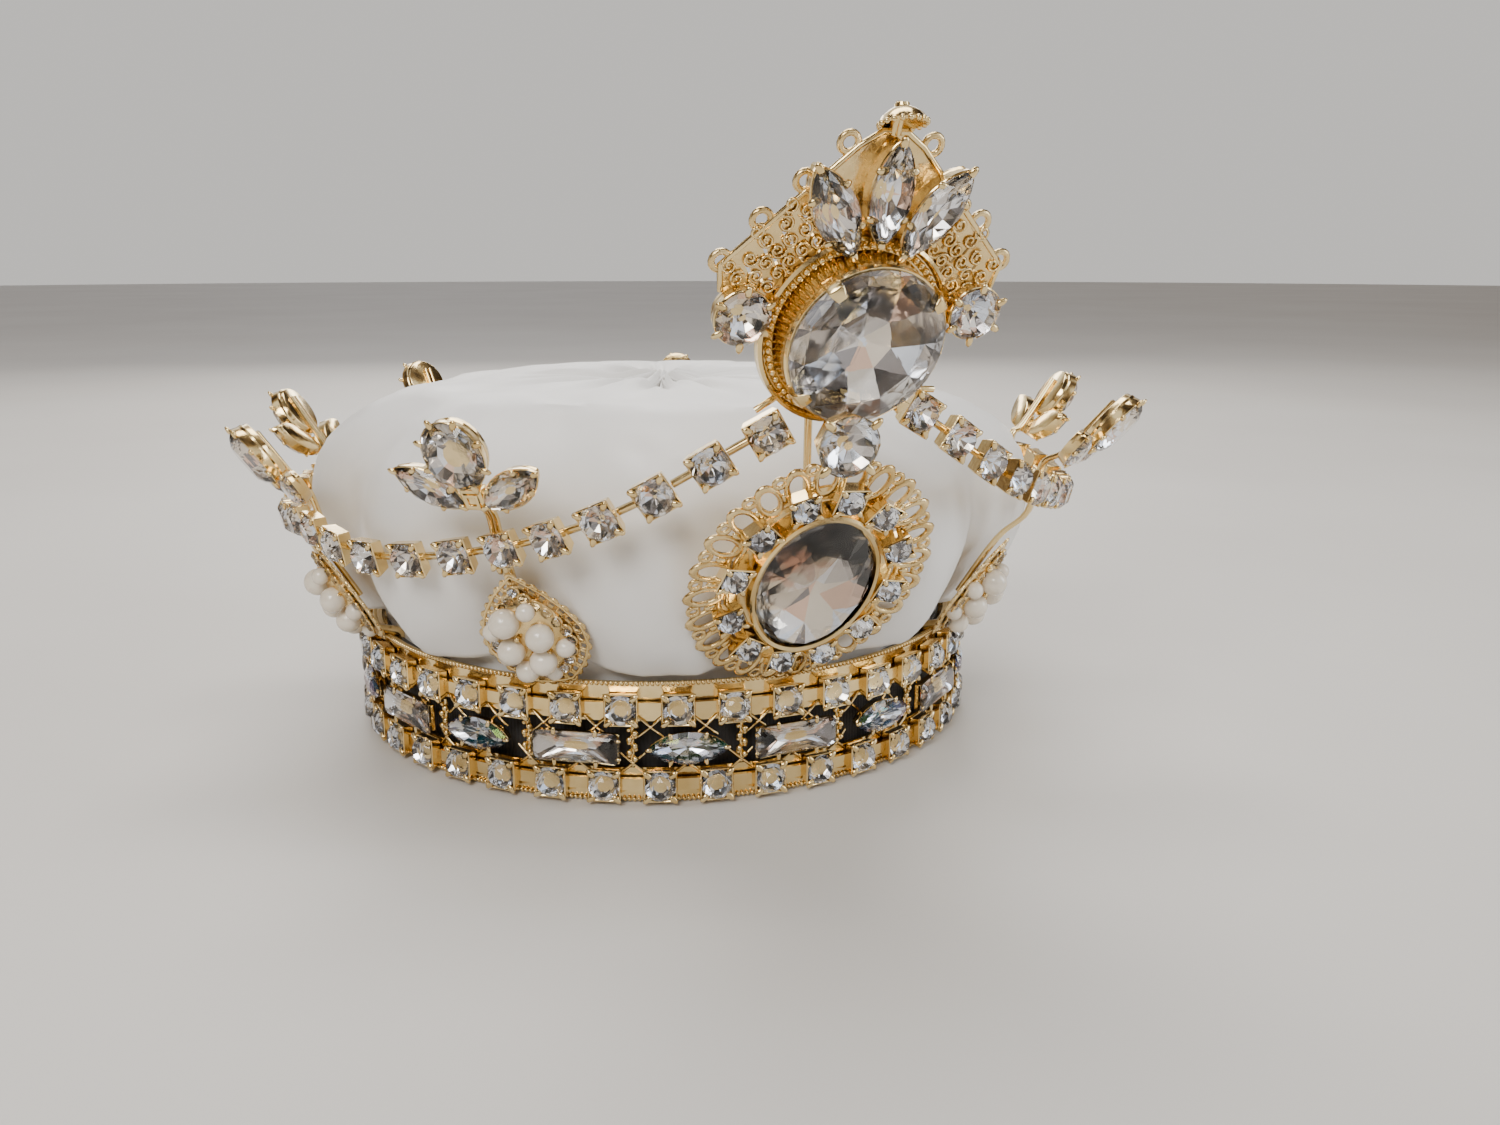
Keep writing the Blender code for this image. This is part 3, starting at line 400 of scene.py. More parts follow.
GOLD = gold_material("polished_gold_plate", (0.90, 0.70, 0.36), (0.74, 0.52, 0.21), 0.08, 0.24, 0.25)
SOFT_GOLD = gold_material("stamped_gold_plate", (0.88, 0.67, 0.34), (0.66, 0.45, 0.17), 0.16, 0.36, 0.5)
GLASS = glass_material("cut_clear_glass", (0.95, 0.96, 0.98))
TINTED_GLASS = glass_material("iris_coated_glass", (0.93, 0.95, 1.0), 420.0)
# The foil tints are painted reflections: white, grey, blue-white, beige, coral and near-black facets stand for the
# room seen in the stone.
BRIGHT_FOIL_PAINTED_REFLECTIONS = painted_reflection_foil("bright_foil", (
    (0.0, (0.95, 0.96, 0.98)), (0.34, (0.62, 0.62, 0.64)), (0.52, (0.78, 0.86, 0.99)),
    (0.66, (0.90, 0.86, 0.78)), (0.82, (0.18, 0.17, 0.17))))
WARM_FOIL_PAINTED_REFLECTIONS = painted_reflection_foil("warm_foil", (
    (0.0, (0.88, 0.80, 0.68)), (0.30, (0.70, 0.66, 0.62)), (0.50, (0.93, 0.94, 0.97)),
    (0.66, (0.86, 0.60, 0.46)), (0.78, (0.30, 0.28, 0.28)), (0.88, (0.80, 0.87, 0.98))))
PEARL = pearl_material()
SATIN = cloth_material("white_satin", (0.80, 0.785, 0.755), (0.88, 0.87, 0.85), 0.42, 0.35, 120.0, 0.12)
# A near-black woven strip that fills the band's gaps with dark.
DARK_INNER_STRIP = cloth_material("black_ribbon", (0.010, 0.009, 0.009), (0.024, 0.021, 0.02), 0.6, 0.2, 160.0, 0.5)


# Stones and settings on the bench

def unit_ring(share, height, sides, turn):
    """One ring of a cut stone's corners, on a circle of radius share."""
    bpy.ops.mesh.primitive_circle_add(vertices=sides, radius=share, fill_type="NOTHING",
                                      location=(0.0, 0.0, height), rotation=(0.0, 0.0, turn * tau / sides))


def cut_stone(rings, half_width, half_length, girdle, shape="round", glass=GLASS, foil=BRIGHT_FOIL_PAINTED_REFLECTIONS):
    """A stone from rings of corners: (share, height, sides, part of a step turned)."""
    unit_ring(*rings[0])
    stone = settle()
    with at_work(stone, "VERT"):
        for ring in rings[1:]:
            unit_ring(*ring)
        bpy.ops.mesh.select_all(action="SELECT")
        bpy.ops.transform.resize(value=(half_width, half_length, 1.0), center_override=(0.0, 0.0, 0.0))
    if shape == "pointed":
        for corner in stone.data.vertices:
            across, up = corner.co.x / half_width, corner.co.y / half_length
            share = hypot(across, up)
            if share > 0.0:
                corner.co.x = half_width * share * abs(across / share) ** 1.55 * (1 if across > 0 else -1)
    with at_work(stone, "VERT"):
        bpy.ops.mesh.select_all(action="SELECT")
        bpy.ops.mesh.convex_hull()
        bpy.ops.mesh.select_all(action="SELECT")
        bpy.ops.mesh.remove_doubles(threshold=0.02)
        bpy.ops.mesh.normals_make_consistent(inside=False)
    dressed(stone, glass, foil)
    for face in stone.data.polygons:
        face.material_index = 1 if face.center.z < girdle - 0.05 and face.normal.z < -0.05 else 0
    return stone


def vary(stones):
    """Gives every facet its own number, which picks the foil's painted reflection tint."""
    facet = stones.data.attributes.new("facet", "FLOAT", "FACE")
    facet.data.foreach_set("value", chance.random(len(stones.data.polygons)).astype(np.float32))
    return stones


def round_stone(radius, back, girdle, table, sides=8, share=0.56, **finish):
    rise, depth = table - girdle, girdle - back
    rings = ((share, table, sides, 0.5), (0.5 * (1 + share), girdle + 0.62 * rise, sides, 0.0),
             (1.0, girdle, 2 * sides, 0.0), (0.99, girdle - 0.12 * depth, 2 * sides, 0.0),
             (0.52, girdle - 0.6 * depth, sides, 0.5), (0.05, back, sides, 0.0))
    return cut_stone(rings, radius, radius, girdle, **finish)


def pointed_stone(half_width, half_length, back, girdle, table, sides=12, **finish):
    rise, depth = table - girdle, girdle - back
    rings = ((0.55, table, sides, 0.0), (0.82, girdle + 0.6 * rise, sides, 0.5),
             (1.0, girdle, 2 * sides, 0.0), (0.99, girdle - 0.12 * depth, 2 * sides, 0.0),
             (0.45, girdle - 0.7 * depth, sides, 0.0), (0.08, back, 6, 0.0))
    return cut_stone(rings, half_width, half_length, girdle, shape="pointed", **finish)


def step_stone(half_width, half_length, cut, back, girdle, table, **finish):
    """A long stone with cut corners, a stepped crown and a lens-shaped keel."""
    bpy.ops.mesh.primitive_cube_add(size=2.0, scale=(half_width, half_length, 0.3), location=(0, 0, girdle))
    stone = settle()
    with at_work(stone, "EDGE"):
        choose(stone, lambda e: abs(e.verts[0].co.z - e.verts[1].co.z) > 0.3, "edges")
        bpy.ops.mesh.bevel(offset=cut, segments=1, affect="EDGES")
    with at_work(stone, "FACE"):
        choose(stone, lambda f: f.normal.z > 0.9)
        for inset, rise in ((0.7, 0.45), (0.9, 0.35)):
            push((table - girdle - 0.3) * rise)
            bpy.ops.transform.resize(value=(1 - inset / half_width, 1 - inset / half_length, 1.0),
                                     center_override=(0, 0, 0))
    with at_work(stone, "VERT"):
        for share, height in ((0.86, table), (0.5, back + 0.4), (0.12, back)):
            bpy.ops.mesh.primitive_circle_add(vertices=20, radius=share, location=(0, 0, height))
            width = half_width * (0.5 if height == table else 0.7)
            bpy.ops.transform.resize(value=(width, half_length * 0.94, 1.0), center_override=(0, 0, height))
        bpy.ops.mesh.select_all(action="SELECT")
        bpy.ops.mesh.convex_hull()
        bpy.ops.mesh.select_all(action="SELECT")
        bpy.ops.mesh.normals_make_consistent(inside=False)
    dressed(stone, finish.get("glass", GLASS), finish.get("foil", BRIGHT_FOIL_PAINTED_REFLECTIONS))
    for face in stone.data.polygons:
        face.material_index = 1 if face.center.z < girdle - 0.2 and face.normal.z < -0.05 else 0
    return stone


def grain(across, up, out, radius, length=None, turn=0.0, segments=8, rings=5):
    """A small rounded claw or bead."""
    bpy.ops.mesh.primitive_uv_sphere_add(segments=segments, ring_count=rings, radius=radius)
    bead = settle()
    if length:
        bead.data.transform(Matrix.Diagonal((length / radius, 1.0, 0.72, 1.0)))
    bead.data.transform(flat_turn(turn, across, up, out))
    bead.data.shade_smooth()
    return dressed(bead, GOLD)


def claws(count, half_width, half_length, out, size, start=0.5):
    made = []
    for k in range(count):
        t = (k + start) * tau / count
        made.append(grain(half_width * cos(t), half_length * sin(t), out, size, 1.9 * size, np.degrees(t)))
    return made


def box_cup(half, depth, wall, well):
    """A square cup with a sunk well."""
    bpy.ops.mesh.primitive_cube_add(size=1.0, scale=(2 * half, 2 * half, depth), location=(0, 0, depth / 2))
    cup = settle()
    with at_work(cup):
        choose(cup, lambda f: f.normal.z > 0.9)
        bpy.ops.mesh.inset(thickness=wall)
        push(-well)
        choose(cup, lambda f: f.normal.z < -0.9 and f.calc_center_median().z < 0.1)
        bpy.ops.transform.resize(value=(0.82, 0.82, 1.0), center_override=(0, 0, 0))
    soften(cup, 0.22, 1)
    return dressed(smooth(cup), GOLD)


def shaped_cup(sides, half_width, half_length, depth, wall, well, shape="round"):
    """A cup that follows a stone's outline, with a sunk well and a waist."""
    bpy.ops.mesh.primitive_cylinder_add(vertices=sides, radius=1.0, depth=depth, location=(0, 0, depth / 2),
                                        end_fill_type="NGON")
    cup = settle()
    with at_work(cup):
        bpy.ops.mesh.select_all(action="SELECT")
        bpy.ops.transform.resize(value=(half_width, half_length, 1.0), center_override=(0, 0, 0))
        choose(cup, lambda f: f.normal.z > 0.9)
        bpy.ops.mesh.inset(thickness=wall)
        push(-well)
        choose(cup, lambda f: f.normal.z < -0.9 and f.calc_center_median().z < 0.1)
        bpy.ops.transform.resize(value=(0.86, 0.86, 1.0), center_override=(0, 0, 0))
    if shape == "pointed":
        for corner in cup.data.vertices:
            across, up = corner.co.x / half_width, corner.co.y / half_length
            share = hypot(across, up)
            if share > 0.0:
                corner.co.x = half_width * share * abs(across / share) ** 1.45 * (1 if across > 0 else -1)
    soften(cup, 0.18, 1, 50)
    return dressed(smooth(cup), GOLD)


def turned(profile, sides, stretch=(1.0, 1.0)):
    """A round piece spun from (radius, height) points, closed where it meets the axis."""
    mesh = bpy.data.meshes.new("profile")
    mesh.from_pydata([(r, 0.0, z) for r, z in profile], [(k, k + 1) for k in range(len(profile) - 1)], [])
    piece = bpy.data.objects.new("profile", mesh)
    bpy.context.collection.objects.link(piece)
    with at_work(piece, "VERT"):
        bpy.ops.mesh.select_all(action="SELECT")
        bpy.ops.mesh.spin(steps=sides, angle=tau, center=(0, 0, 0), axis=(0, 0, 1))
        bpy.ops.mesh.select_all(action="SELECT")
        bpy.ops.mesh.remove_doubles(threshold=0.01)
        bpy.ops.mesh.normals_make_consistent(inside=False)
        bpy.ops.transform.resize(value=(*stretch, 1.0), center_override=(0, 0, 0))
    return dressed(smooth(piece), GOLD)


def rod(points, radius, sides=2, flat=1.0, material=None):
    """A wire through points, as a curve with a round section made into a mesh."""
    curve = bpy.data.curves.new("wire", "CURVE")
    curve.dimensions, curve.bevel_depth, curve.bevel_resolution, curve.use_fill_caps = "3D", radius, sides, True
    spline = curve.splines.new("POLY")
    spline.points.add(len(points) - 1)
    for place, point in zip(spline.points, points):
        place.co = (*point, 1.0)
    piece = bpy.data.objects.new("wire", curve)
    bpy.context.collection.objects.link(piece)
    pick(piece)
    bpy.ops.object.convert(target="MESH")
    piece = bpy.context.object
    if flat != 1.0:
        piece.data.transform(Matrix.Diagonal((1.0, 1.0, flat, 1.0)))
    piece.data.shade_smooth()
    return dressed(piece, material or GOLD)


def loop(half_width, half_length, wire, across=0.0, up=0.0, out=0.0, turn=0.0, sides=18):
    """An oval wire ring."""
    bpy.ops.mesh.primitive_torus_add(major_segments=sides, minor_segments=6, major_radius=1.0,
                                     minor_radius=wire / half_width)
    ring = settle()
    ring.data.transform(Matrix.Diagonal((half_width, half_length, half_width, 1.0)))
    ring.data.transform(flat_turn(turn, across, up, out))
    ring.data.shade_smooth()
    return dressed(ring, SOFT_GOLD)


def plate(outline, back, front, material=None):
    """A flat plate cut to an outline of (across, up) points."""
    bpy.ops.mesh.primitive_circle_add(vertices=len(outline), radius=1.0, fill_type="NGON")
    sheet = settle()
    for corner, (across, up) in zip(sheet.data.vertices, outline):
        corner.co = (across, up, back)
    with at_work(sheet):
        bpy.ops.mesh.select_all(action="SELECT")
        push(front - back)
        bpy.ops.mesh.select_all(action="SELECT")
        bpy.ops.mesh.normals_make_consistent(inside=False)
    return dressed(sheet, material or SOFT_GOLD)


def hoop(radius, wall, low, high, sides=160, material=None):
    """A strip round the crown."""
    bpy.ops.mesh.primitive_cylinder_add(vertices=sides, radius=radius, depth=high - low, end_fill_type="NOTHING",
                                        location=(0, 0, (low + high) / 2))
    strip = settle()
    thick = strip.modifiers.new("wall", "SOLIDIFY")
    thick.thickness, thick.offset = wall, -1.0
    apply_all(strip)
    return dressed(smooth(strip), material or GOLD)


def round_crown(count, turn, radius, height, lean=0.0):
    return [bench(turn + k * 360.0 / count, radius, height, lean) for k in range(count)]


# The band

def band_strips():
    """The two rails, their plain bars and the strip under the beaded top edge."""
    parts = [hoop(BAND_R, BAND_WALL, 21.4, BAND_TOP), hoop(BAND_R, BAND_WALL, 0.2, 9.0)]
    for row in ROWS.values():
        parts.append(hoop(ROW_R + 1.7, 1.2, row["height"] - 1.5, row["height"] + 1.5))
    parts.append(hoop(BAND_R + 0.5, 0.9, 30.2, BAND_TOP + 0.6))
    finished(joined(parts), "band_rails", ["band"])


def band_beads():
    around = int(tau * BAND_R / 1.25)
    parts = []
    for height, radius, size in ((BAND_TOP + 0.3, BAND_R + 0.7, 0.66), (0.75, BAND_R + 0.5, 0.6)):
        bead = grain(0, 0, 0, size, None, 0.0, 8, 4)
        bead.data.transform(Matrix.Diagonal((0.82, 1.25, 1.0, 1.0)))
        bead.data.transform(Matrix.Rotation(radians(24), 4, "Z"))
        parts += copies(bead, round_crown(around, 0.0, radius, height))
    finished(joined(parts), "band_rope_edges")


def crossed_wire(height):
    """Two bowed wires that cross, as they stand between two cups."""
    parts = []
    for side in (-1, 1):
        points = [(side * (-3.1 + 6.2 * t), height * (t - 0.5), 0.4 + 0.5 * sin(pi * t)) for t in np.linspace(0, 1, 7)]
        parts.append(rod(points, 0.42, 0))
    parts.append(grain(0, 0, 0.8, 0.62, None, 0.0, 6, 4))
    return joined(parts)


def bead_column():
    """The cast cluster of grains between two long stones."""
    parts = []
    for k, up in enumerate(np.linspace(-3.4, 3.4, 5)):
        parts.append(grain(0.7 * (-1) ** k, up, 1.1, 0.95, None, 0.0, 8, 5))
        parts.append(grain(-0.9 * (-1) ** k, up + 0.7, 0.7, 0.7, None, 0.0, 8, 5))
    parts.append(rod([(0, -5.6, 0.3), (0, 5.6, 0.3)], 0.6, 1))
    return joined(parts)


def band_wirework():
    step = 360.0 / MIDDLE_STONES
    parts = copies(crossed_wire(5.2), round_crown(ROW_STONES, 6.0, BAND_R - 0.3, 20.0))
    parts += copies(crossed_wire(5.2), round_crown(ROW_STONES, 3.0, BAND_R - 0.3, 10.4))
    parts += copies(bead_column(), round_crown(MIDDLE_STONES, MIDDLE_TURN + step / 2, BAND_R, MIDDLE_HEIGHT))
    finished(joined(parts), "band_wirework")


def stone_rows():
    cup = joined([box_cup(4.3, 3.3, 0.6, 2.4)] + claws(4, 3.85 * 1.18, 3.85 * 1.18, 3.5, 0.85))
    stone = round_stone(4.0, 0.9, 3.3, 5.3)
    for label, row in ROWS.items():
        places = round_crown(ROW_STONES, row["turn"], ROW_R, row["height"])
        tumbled = [place @ flat_turn(float(chance.uniform(-9, 9))) for place in places]
        settings = joined(copies(cup, places, keep=True))
        finished(settings, f"{label}_row_settings", [f"{label}_stone_row"])
        finished(vary(joined(copies(stone, tumbled, keep=True))), f"{label}_row_stones")
    for model in (cup, stone):
        bpy.data.objects.remove(model, do_unlink=True)


def middle_row():
    quarter = Matrix.Rotation(radians(90), 4, "Z")
    step = 360.0 / MIDDLE_STONES
    baguette = moved(step_stone(4.0, 11.4, 1.0, 0.6, 3.1, 4.9, glass=GLASS, foil=WARM_FOIL_PAINTED_REFLECTIONS), quarter)
    navette = moved(pointed_stone(4.3, 10.2, 0.7, 3.2, 4.9, glass=TINTED_GLASS), quarter)
    frame_cup = box_cup(1.0, 2.7, 0.06, 1.9)
    frame_cup.data.transform(Matrix.Diagonal((11.3, 3.9, 1.0, 1.0)))
    grips = [grain(x, side * 4.0, 3.7, 0.62, 1.3, 90) for x in (-5.4, 5.4) for side in (-1, 1)]
    grips += [grain(side * 11.1, y, 3.5, 0.5, 0.9, 0) for side in (-1, 1) for y in (-2.4, 2.4)]
    baguette_cup = joined([frame_cup] + grips)
    lens_cup = moved(shaped_cup(28, 4.2, 10.1, 2.7, 0.45, 2.0, "pointed"), quarter)
    grips = [grain(x, side * 3.3, 3.7, 0.6, 1.2, 90 - side * x * 4) for x in (-4.4, 4.4) for side in (-1, 1)]
    grips += [grain(side * 9.7, 0.0, 3.4, 0.6, 1.1, 0) for side in (-1, 1)]
    navette_cup = joined([lens_cup] + grips)
    settings = []
    for number in range(MIDDLE_STONES):
        place = bench(MIDDLE_TURN + number * step, ROW_R, MIDDLE_HEIGHT)
        kind, stone, cup = (("baguette", baguette, baguette_cup), ("navette", navette, navette_cup))[number % 2]
        label = f"{kind}_stone_{number // 2 + 1:02d}"
        settings += copies(cup, [place], keep=True)
        finished(vary(copies(stone, [place], keep=True)[0]), f"{label}_cut", [label])
    finished(joined(settings), "middle_row_settings")
    for model in (baguette, navette, baguette_cup, navette_cup):
        bpy.data.objects.remove(model, do_unlink=True)


# The leaves

def leaf_edge(inset=0.0, count=44):
    """Points round the leaf, evenly spaced, starting at the foot."""
    heights = [LEAF_LENGTH * (0.02 + 0.165 * k) for k in range(len(LEAF_WIDTHS))]
    right = [(LEAF_WIDTH / 2 * w, y) for w, y in zip(LEAF_WIDTHS, heights)]
    knots = [(0.0, 0.0)] + right + [(0.0, LEAF_LENGTH)] + [(-x, y) for x, y in reversed(right)] + [(0.0, 0.0)]
    knots = np.array(knots)
    middle = np.array((0.0, LEAF_LENGTH / 2))
    reach = np.linalg.norm(knots - middle, axis=1, keepdims=True)
    knots = middle + (knots - middle) * (1 - inset / reach)
    lengths = np.concatenate([[0.0], np.cumsum(np.linalg.norm(np.diff(knots, axis=0), axis=1))])
    spots = np.linspace(0.0, lengths[-1], count, endpoint=False)
    return [(float(np.interp(s, lengths, knots[:, 0])), float(np.interp(s, lengths, knots[:, 1]))) for s in spots]


def leaf_metal():
    """The stamped plate with a lace edge, small cups and gold grains between the pearls."""
    sheet = soften(plate(leaf_edge(2.2, 36), 0.1, LEAF_WALL), 0.3, 1, 60)
    parts = [smooth(sheet)]
    edge = leaf_edge(1.5, 30)
    for k, (across, up) in enumerate(edge):
        turn = np.degrees(atan2(up - LEAF_LENGTH / 2, across))
        parts.append(loop(1.15, 1.55, 0.42, across, up, 0.7, turn + 90, 10))
    rim = leaf_edge(0.6, 44)
    parts.append(rod([(x, y, 0.7) for x, y in rim + rim[:1]], 0.5, 1))
    for across, up in leaf_edge(4.2, 22):
        parts.append(loop(1.5, 1.5, 0.35, across, up, 1.9, 0, 10))
    middle = LEAF_LENGTH / 2
    dome = leaf_dome()
    parts.append(dome)
    for k in range(15):
        t, reach = 2.399963 * k, 1.9 * (k + 0.5) ** 0.62
        across, up = reach * cos(t), reach * sin(t) * 1.1
        parts.append(grain(across, middle - 1.0 + up, 5.4 - 0.030 * reach ** 2, 0.85, None, 0.0, 8, 5))
    return joined(parts)


def leaf_dome():
    """The raised bed that lifts the pearls."""
    bpy.ops.mesh.primitive_uv_sphere_add(segments=20, ring_count=10, radius=1.0)
    dome = settle()
    with at_work(dome, "VERT"):
        bpy.ops.mesh.select_all(action="SELECT")
        bpy.ops.mesh.bisect(plane_co=(0, 0, 0), plane_no=(0, 0, 1), clear_inner=True, use_fill=True)
    dome.data.transform(Matrix.Diagonal((9.6, 11.8, 3.6, 1.0)))
    dome.data.transform(flat_turn(0, 0, LEAF_LENGTH / 2 - 1.2, 1.0))
    return dressed(smooth(dome), SOFT_GOLD)


def leaf_pearls():
    parts = []
    for bead in LEAF_PEARLS:
        bpy.ops.mesh.primitive_uv_sphere_add(segments=22, ring_count=14, radius=bead["size"] / 2)
        ball = settle()
        reach = hypot(bead["across"] / 9.6, bead["up"] / 11.8)
        out = LEAF_WALL + 3.2 * (1 - min(reach, 1.0) ** 2) ** 0.5 + bead["size"] * 0.22
        ball.data.transform(flat_turn(0, bead["across"], bead["up"] + LEAF_LENGTH / 2 - 0.4, out))
        ball.data.shade_smooth()
        parts.append(dressed(ball, PEARL))
    return joined(parts)


def leaf_rhinestones():
    stone = round_stone(1.55, 0.9, 2.0, 3.0, 6)
    return joined(copies(stone, [flat_turn(17.0 * k, x, y) for k, (x, y) in enumerate(leaf_edge(4.2, 22))]))


def leaf_tongue(place, azimuth):
    """The tongue that runs from the plate down behind the rim."""
    upright = station(azimuth, 0.0, 0.0)
    foot = upright.inverted() @ (place @ Vector((0.0, -0.6, 3.0)))
    inner = BAND_R - BAND_WALL - 1.4
    points = [(0.0, -inner, 25.0), (0.0, -inner, 31.6), (0.0, -inner - 0.8, 32.4), (0.0, foot.y, foot.z)]
    tongue = rod(points, 1.5, 1)
    tongue.data.transform(upright)
    return tongue


def pearl_leaves():
    metal, pearls, stones = leaf_metal(), leaf_pearls(), leaf_rhinestones()
    for post in POSTS:
        azimuth = post["azimuth"] + post["leaf_turn"]
        place = station(azimuth, LEAF_FOOT_R, LEAF_FOOT_Z, post["leaf_lean"], post["leaf_roll"])
        name = f"leaf_{post['name']}"
        body = joined(copies(metal, [place @ STAND], keep=True) + [leaf_tongue(place, azimuth)])
        finished(body, f"{name}_plate", [name])
        finished(copies(pearls, [place @ STAND], keep=True)[0], f"{name}_pearls")
        finished(vary(copies(stones, [place @ STAND], keep=True)[0]), f"{name}_rhinestones")
    for model in (metal, pearls, stones):
        bpy.data.objects.remove(model, do_unlink=True)


# The sprays

def spray_metal():
    parts = [moved(shaped_cup(28, 7.7, 8.9, 4.2, 0.6, 3.0), flat_turn(0, 0, 13.4, 0.8))]
    for part in claws(8, 7.5, 8.7, 0.0, 0.85):
        parts.append(moved(part, flat_turn(0, 0, 13.4, 5.2)))
    for side in (-1, 1):
        seat = flat_turn(90 + side * 32, side * 10.2, 3.8, 0.5)
        parts.append(moved(shaped_cup(24, 4.6, 9.4, 2.8, 0.5, 2.0, "pointed"), seat))
        for x, y in ((-2.7, -4.6), (2.7, -4.6), (-2.7, 4.6), (2.7, 4.6), (0, -8.8), (0, 8.8)):
            parts.append(moved(grain(x, y, 3.3, 0.75, 1.3, 0 if x else 90), seat))
    bpy.ops.mesh.primitive_cube_add(size=1.0, scale=(5.4, 5.4, 3.0), location=(0, 0.8, 1.9))
    knot = settle()
    with at_work(knot):
        choose(knot, lambda f: f.normal.z > 0.9)
        bpy.ops.mesh.inset(thickness=0.8)
        push(0.7)
        bpy.ops.mesh.inset(thickness=0.9)
        push(-0.8)
    parts.append(dressed(smooth(soften(knot, 0.3, 2)), GOLD))
    return joined(parts)


def spray_stones():
    rings = ((0.58, 7.6, 10, 0.5), (0.82, 6.7, 10, 0.0), (1.0, 5.0, 20, 0.0), (0.99, 4.6, 20, 0.0),
             (0.5, 2.4, 10, 0.5), (0.06, 1.4, 8, 0.0))
    oval = moved(cut_stone(rings, 7.5, 8.7, 5.0, foil=WARM_FOIL_PAINTED_REFLECTIONS), flat_turn(0, 0, 13.4, 0))
    leaflet = pointed_stone(4.4, 9.2, 0.7, 2.8, 4.8, glass=GLASS, foil=WARM_FOIL_PAINTED_REFLECTIONS)
    seats = [flat_turn(90 + side * 32, side * 10.2, 3.8, 0.4) for side in (-1, 1)]
    return joined([oval] + copies(leaflet, seats))


def smooth_route(knots, samples):
    """A smooth curve through the knots, as Catmull-Rom spans."""
    knots = np.array(knots, float)
    ends = np.vstack([2 * knots[0] - knots[1], knots, 2 * knots[-1] - knots[-2]])
    route = []
    for k in range(len(knots) - 1):
        p0, p1, p2, p3 = ends[k:k + 4]
        for t in np.linspace(0.0, 1.0, samples, endpoint=False):
            route.append(0.5 * (2 * p1 + (p2 - p0) * t + (2 * p0 - 5 * p1 + 4 * p2 - p3) * t * t
                                + (3 * p1 - p0 - 3 * p2 + p3) * t ** 3))
    route.append(knots[-1])
    return np.array(route)


def spray_stem(post):
    """Two rods side by side, from the leaf's back past the garland to the spray."""
    lean, tilt = radians(post["leaf_lean"]), radians(post["spray_lean"])
    behind, cup = 1.3, GARLAND_CUP / 2 + 1.2
    knots = [(LEAF_FOOT_R + v * sin(lean) - behind * cos(lean), LEAF_FOOT_Z + v * cos(lean) + behind * sin(lean))
             for v in (14.0, LEAF_LENGTH)]
    knots += [(post["hang_r"] - behind + v * GARLAND_LEAN, post["hang_z"] + v) for v in (-cup, cup)]
    knots += [(post["node_r"] + v * sin(tilt) + 0.3, post["node_z"] + v * cos(tilt)) for v in (0.0, 17.4)]
    route = smooth_route(knots, 5)
    parts = []
    for side in (-1, 1):
        stem = rod([(side * 0.85, -r, z) for r, z in route], 0.8, 1)
        stem.data.transform(station(post["azimuth"], 0.0, 0.0))
        parts.append(stem)
    return parts


def sprays():
    metal, stones = spray_metal(), spray_stones()
    for post in POSTS:
        name = f"spray_{post['name']}"
        place = bench(post["azimuth"], post["node_r"], post["node_z"], post["spray_lean"], post["spray_roll"])
        body = joined(copies(metal, [place], keep=True) + spray_stem(post))
        finished(body, f"{name}_setting", [name])
        finished(vary(copies(stones, [place], keep=True)[0]), f"{name}_stones")
    for model in (metal, stones):
        bpy.data.objects.remove(model, do_unlink=True)


# The garland

def garland_frames():
    """Cup places from one side of the crest round the eight posts to the other, sagging between."""
    left, right = GARLAND_ENDS
    knots = [(left["azimuth"], left["radius"], left["height"])]
    for post in POSTS:
        azimuth = post["azimuth"] if post["azimuth"] < 0 else post["azimuth"] - 360
        knots.append((azimuth, post["hang_r"], post["hang_z"]))
    knots.append((right["azimuth"] - 360, right["radius"], right["height"]))
    filled = [knots[0]]
    for first, second in zip(knots, knots[1:]):
        middle = [(a + b) / 2 for a, b in zip(first, second)]
        filled += [(middle[0], middle[1] + 0.6, middle[2] - GARLAND_SAG), second]
    route = smooth_route(filled, 24)
    angle = np.radians(route[:, 0])
    space = np.stack([route[:, 1] * np.sin(angle), -route[:, 1] * np.cos(angle), route[:, 2]], axis=1)
    travelled = np.concatenate([[0.0], np.cumsum(np.linalg.norm(np.diff(space, axis=0), axis=1))])
    frames = []
    for along in np.linspace(0.0, travelled[-1], GARLAND_STONES):
        point, before, after = (np.array([np.interp(s, travelled, space[:, k]) for k in range(3)])
                                for s in (along, along - 2.0, along + 2.0))
        across = Vector(before - after).normalized()
        out = Vector((point[0], point[1], 0.0)).normalized() + Vector((0.0, 0.0, -GARLAND_LEAN))
        out = (out - across * out.dot(across)).normalized()
        up = across.cross(-out).normalized()
        place = Matrix((across, -out, up)).transposed().to_4x4()
        place.translation = Vector(point)
        frames.append(place)
    frames.reverse()
    return frames


def garland():
    frames = garland_frames()
    cup = joined([box_cup(4.5, 3.6, 0.55, 2.6)] + claws(4, 4.75, 4.75, 3.9, 0.8))
    stone = round_stone(4.5, 0.9, 3.6, 5.6, 10, 0.62, foil=WARM_FOIL_PAINTED_REFLECTIONS)
    places = [place @ STAND for place in frames]
    settings = copies(cup, places)
    for first, second in zip(frames, frames[1:]):
        a, b = first @ Vector((4.2, -1.0, 0.0)), second @ Vector((-4.2, -1.0, 0.0))
        settings.append(rod([a, (a + b) / 2, b], 0.95, 0))
    finished(joined(settings), "garland_settings", ["garland"])
    tumbled = [place @ flat_turn(float(chance.uniform(-12, 12))) for place in places]
    finished(vary(joined(copies(stone, tumbled))), "garland_stones")


# The medallion and its drop

def oval_point(step, reach=1.0):
    t = tau * step / LACE_LOOPS
    return LACE_HALF_WIDTH * reach * cos(t), LACE_HALF_HEIGHT * reach * sin(t)


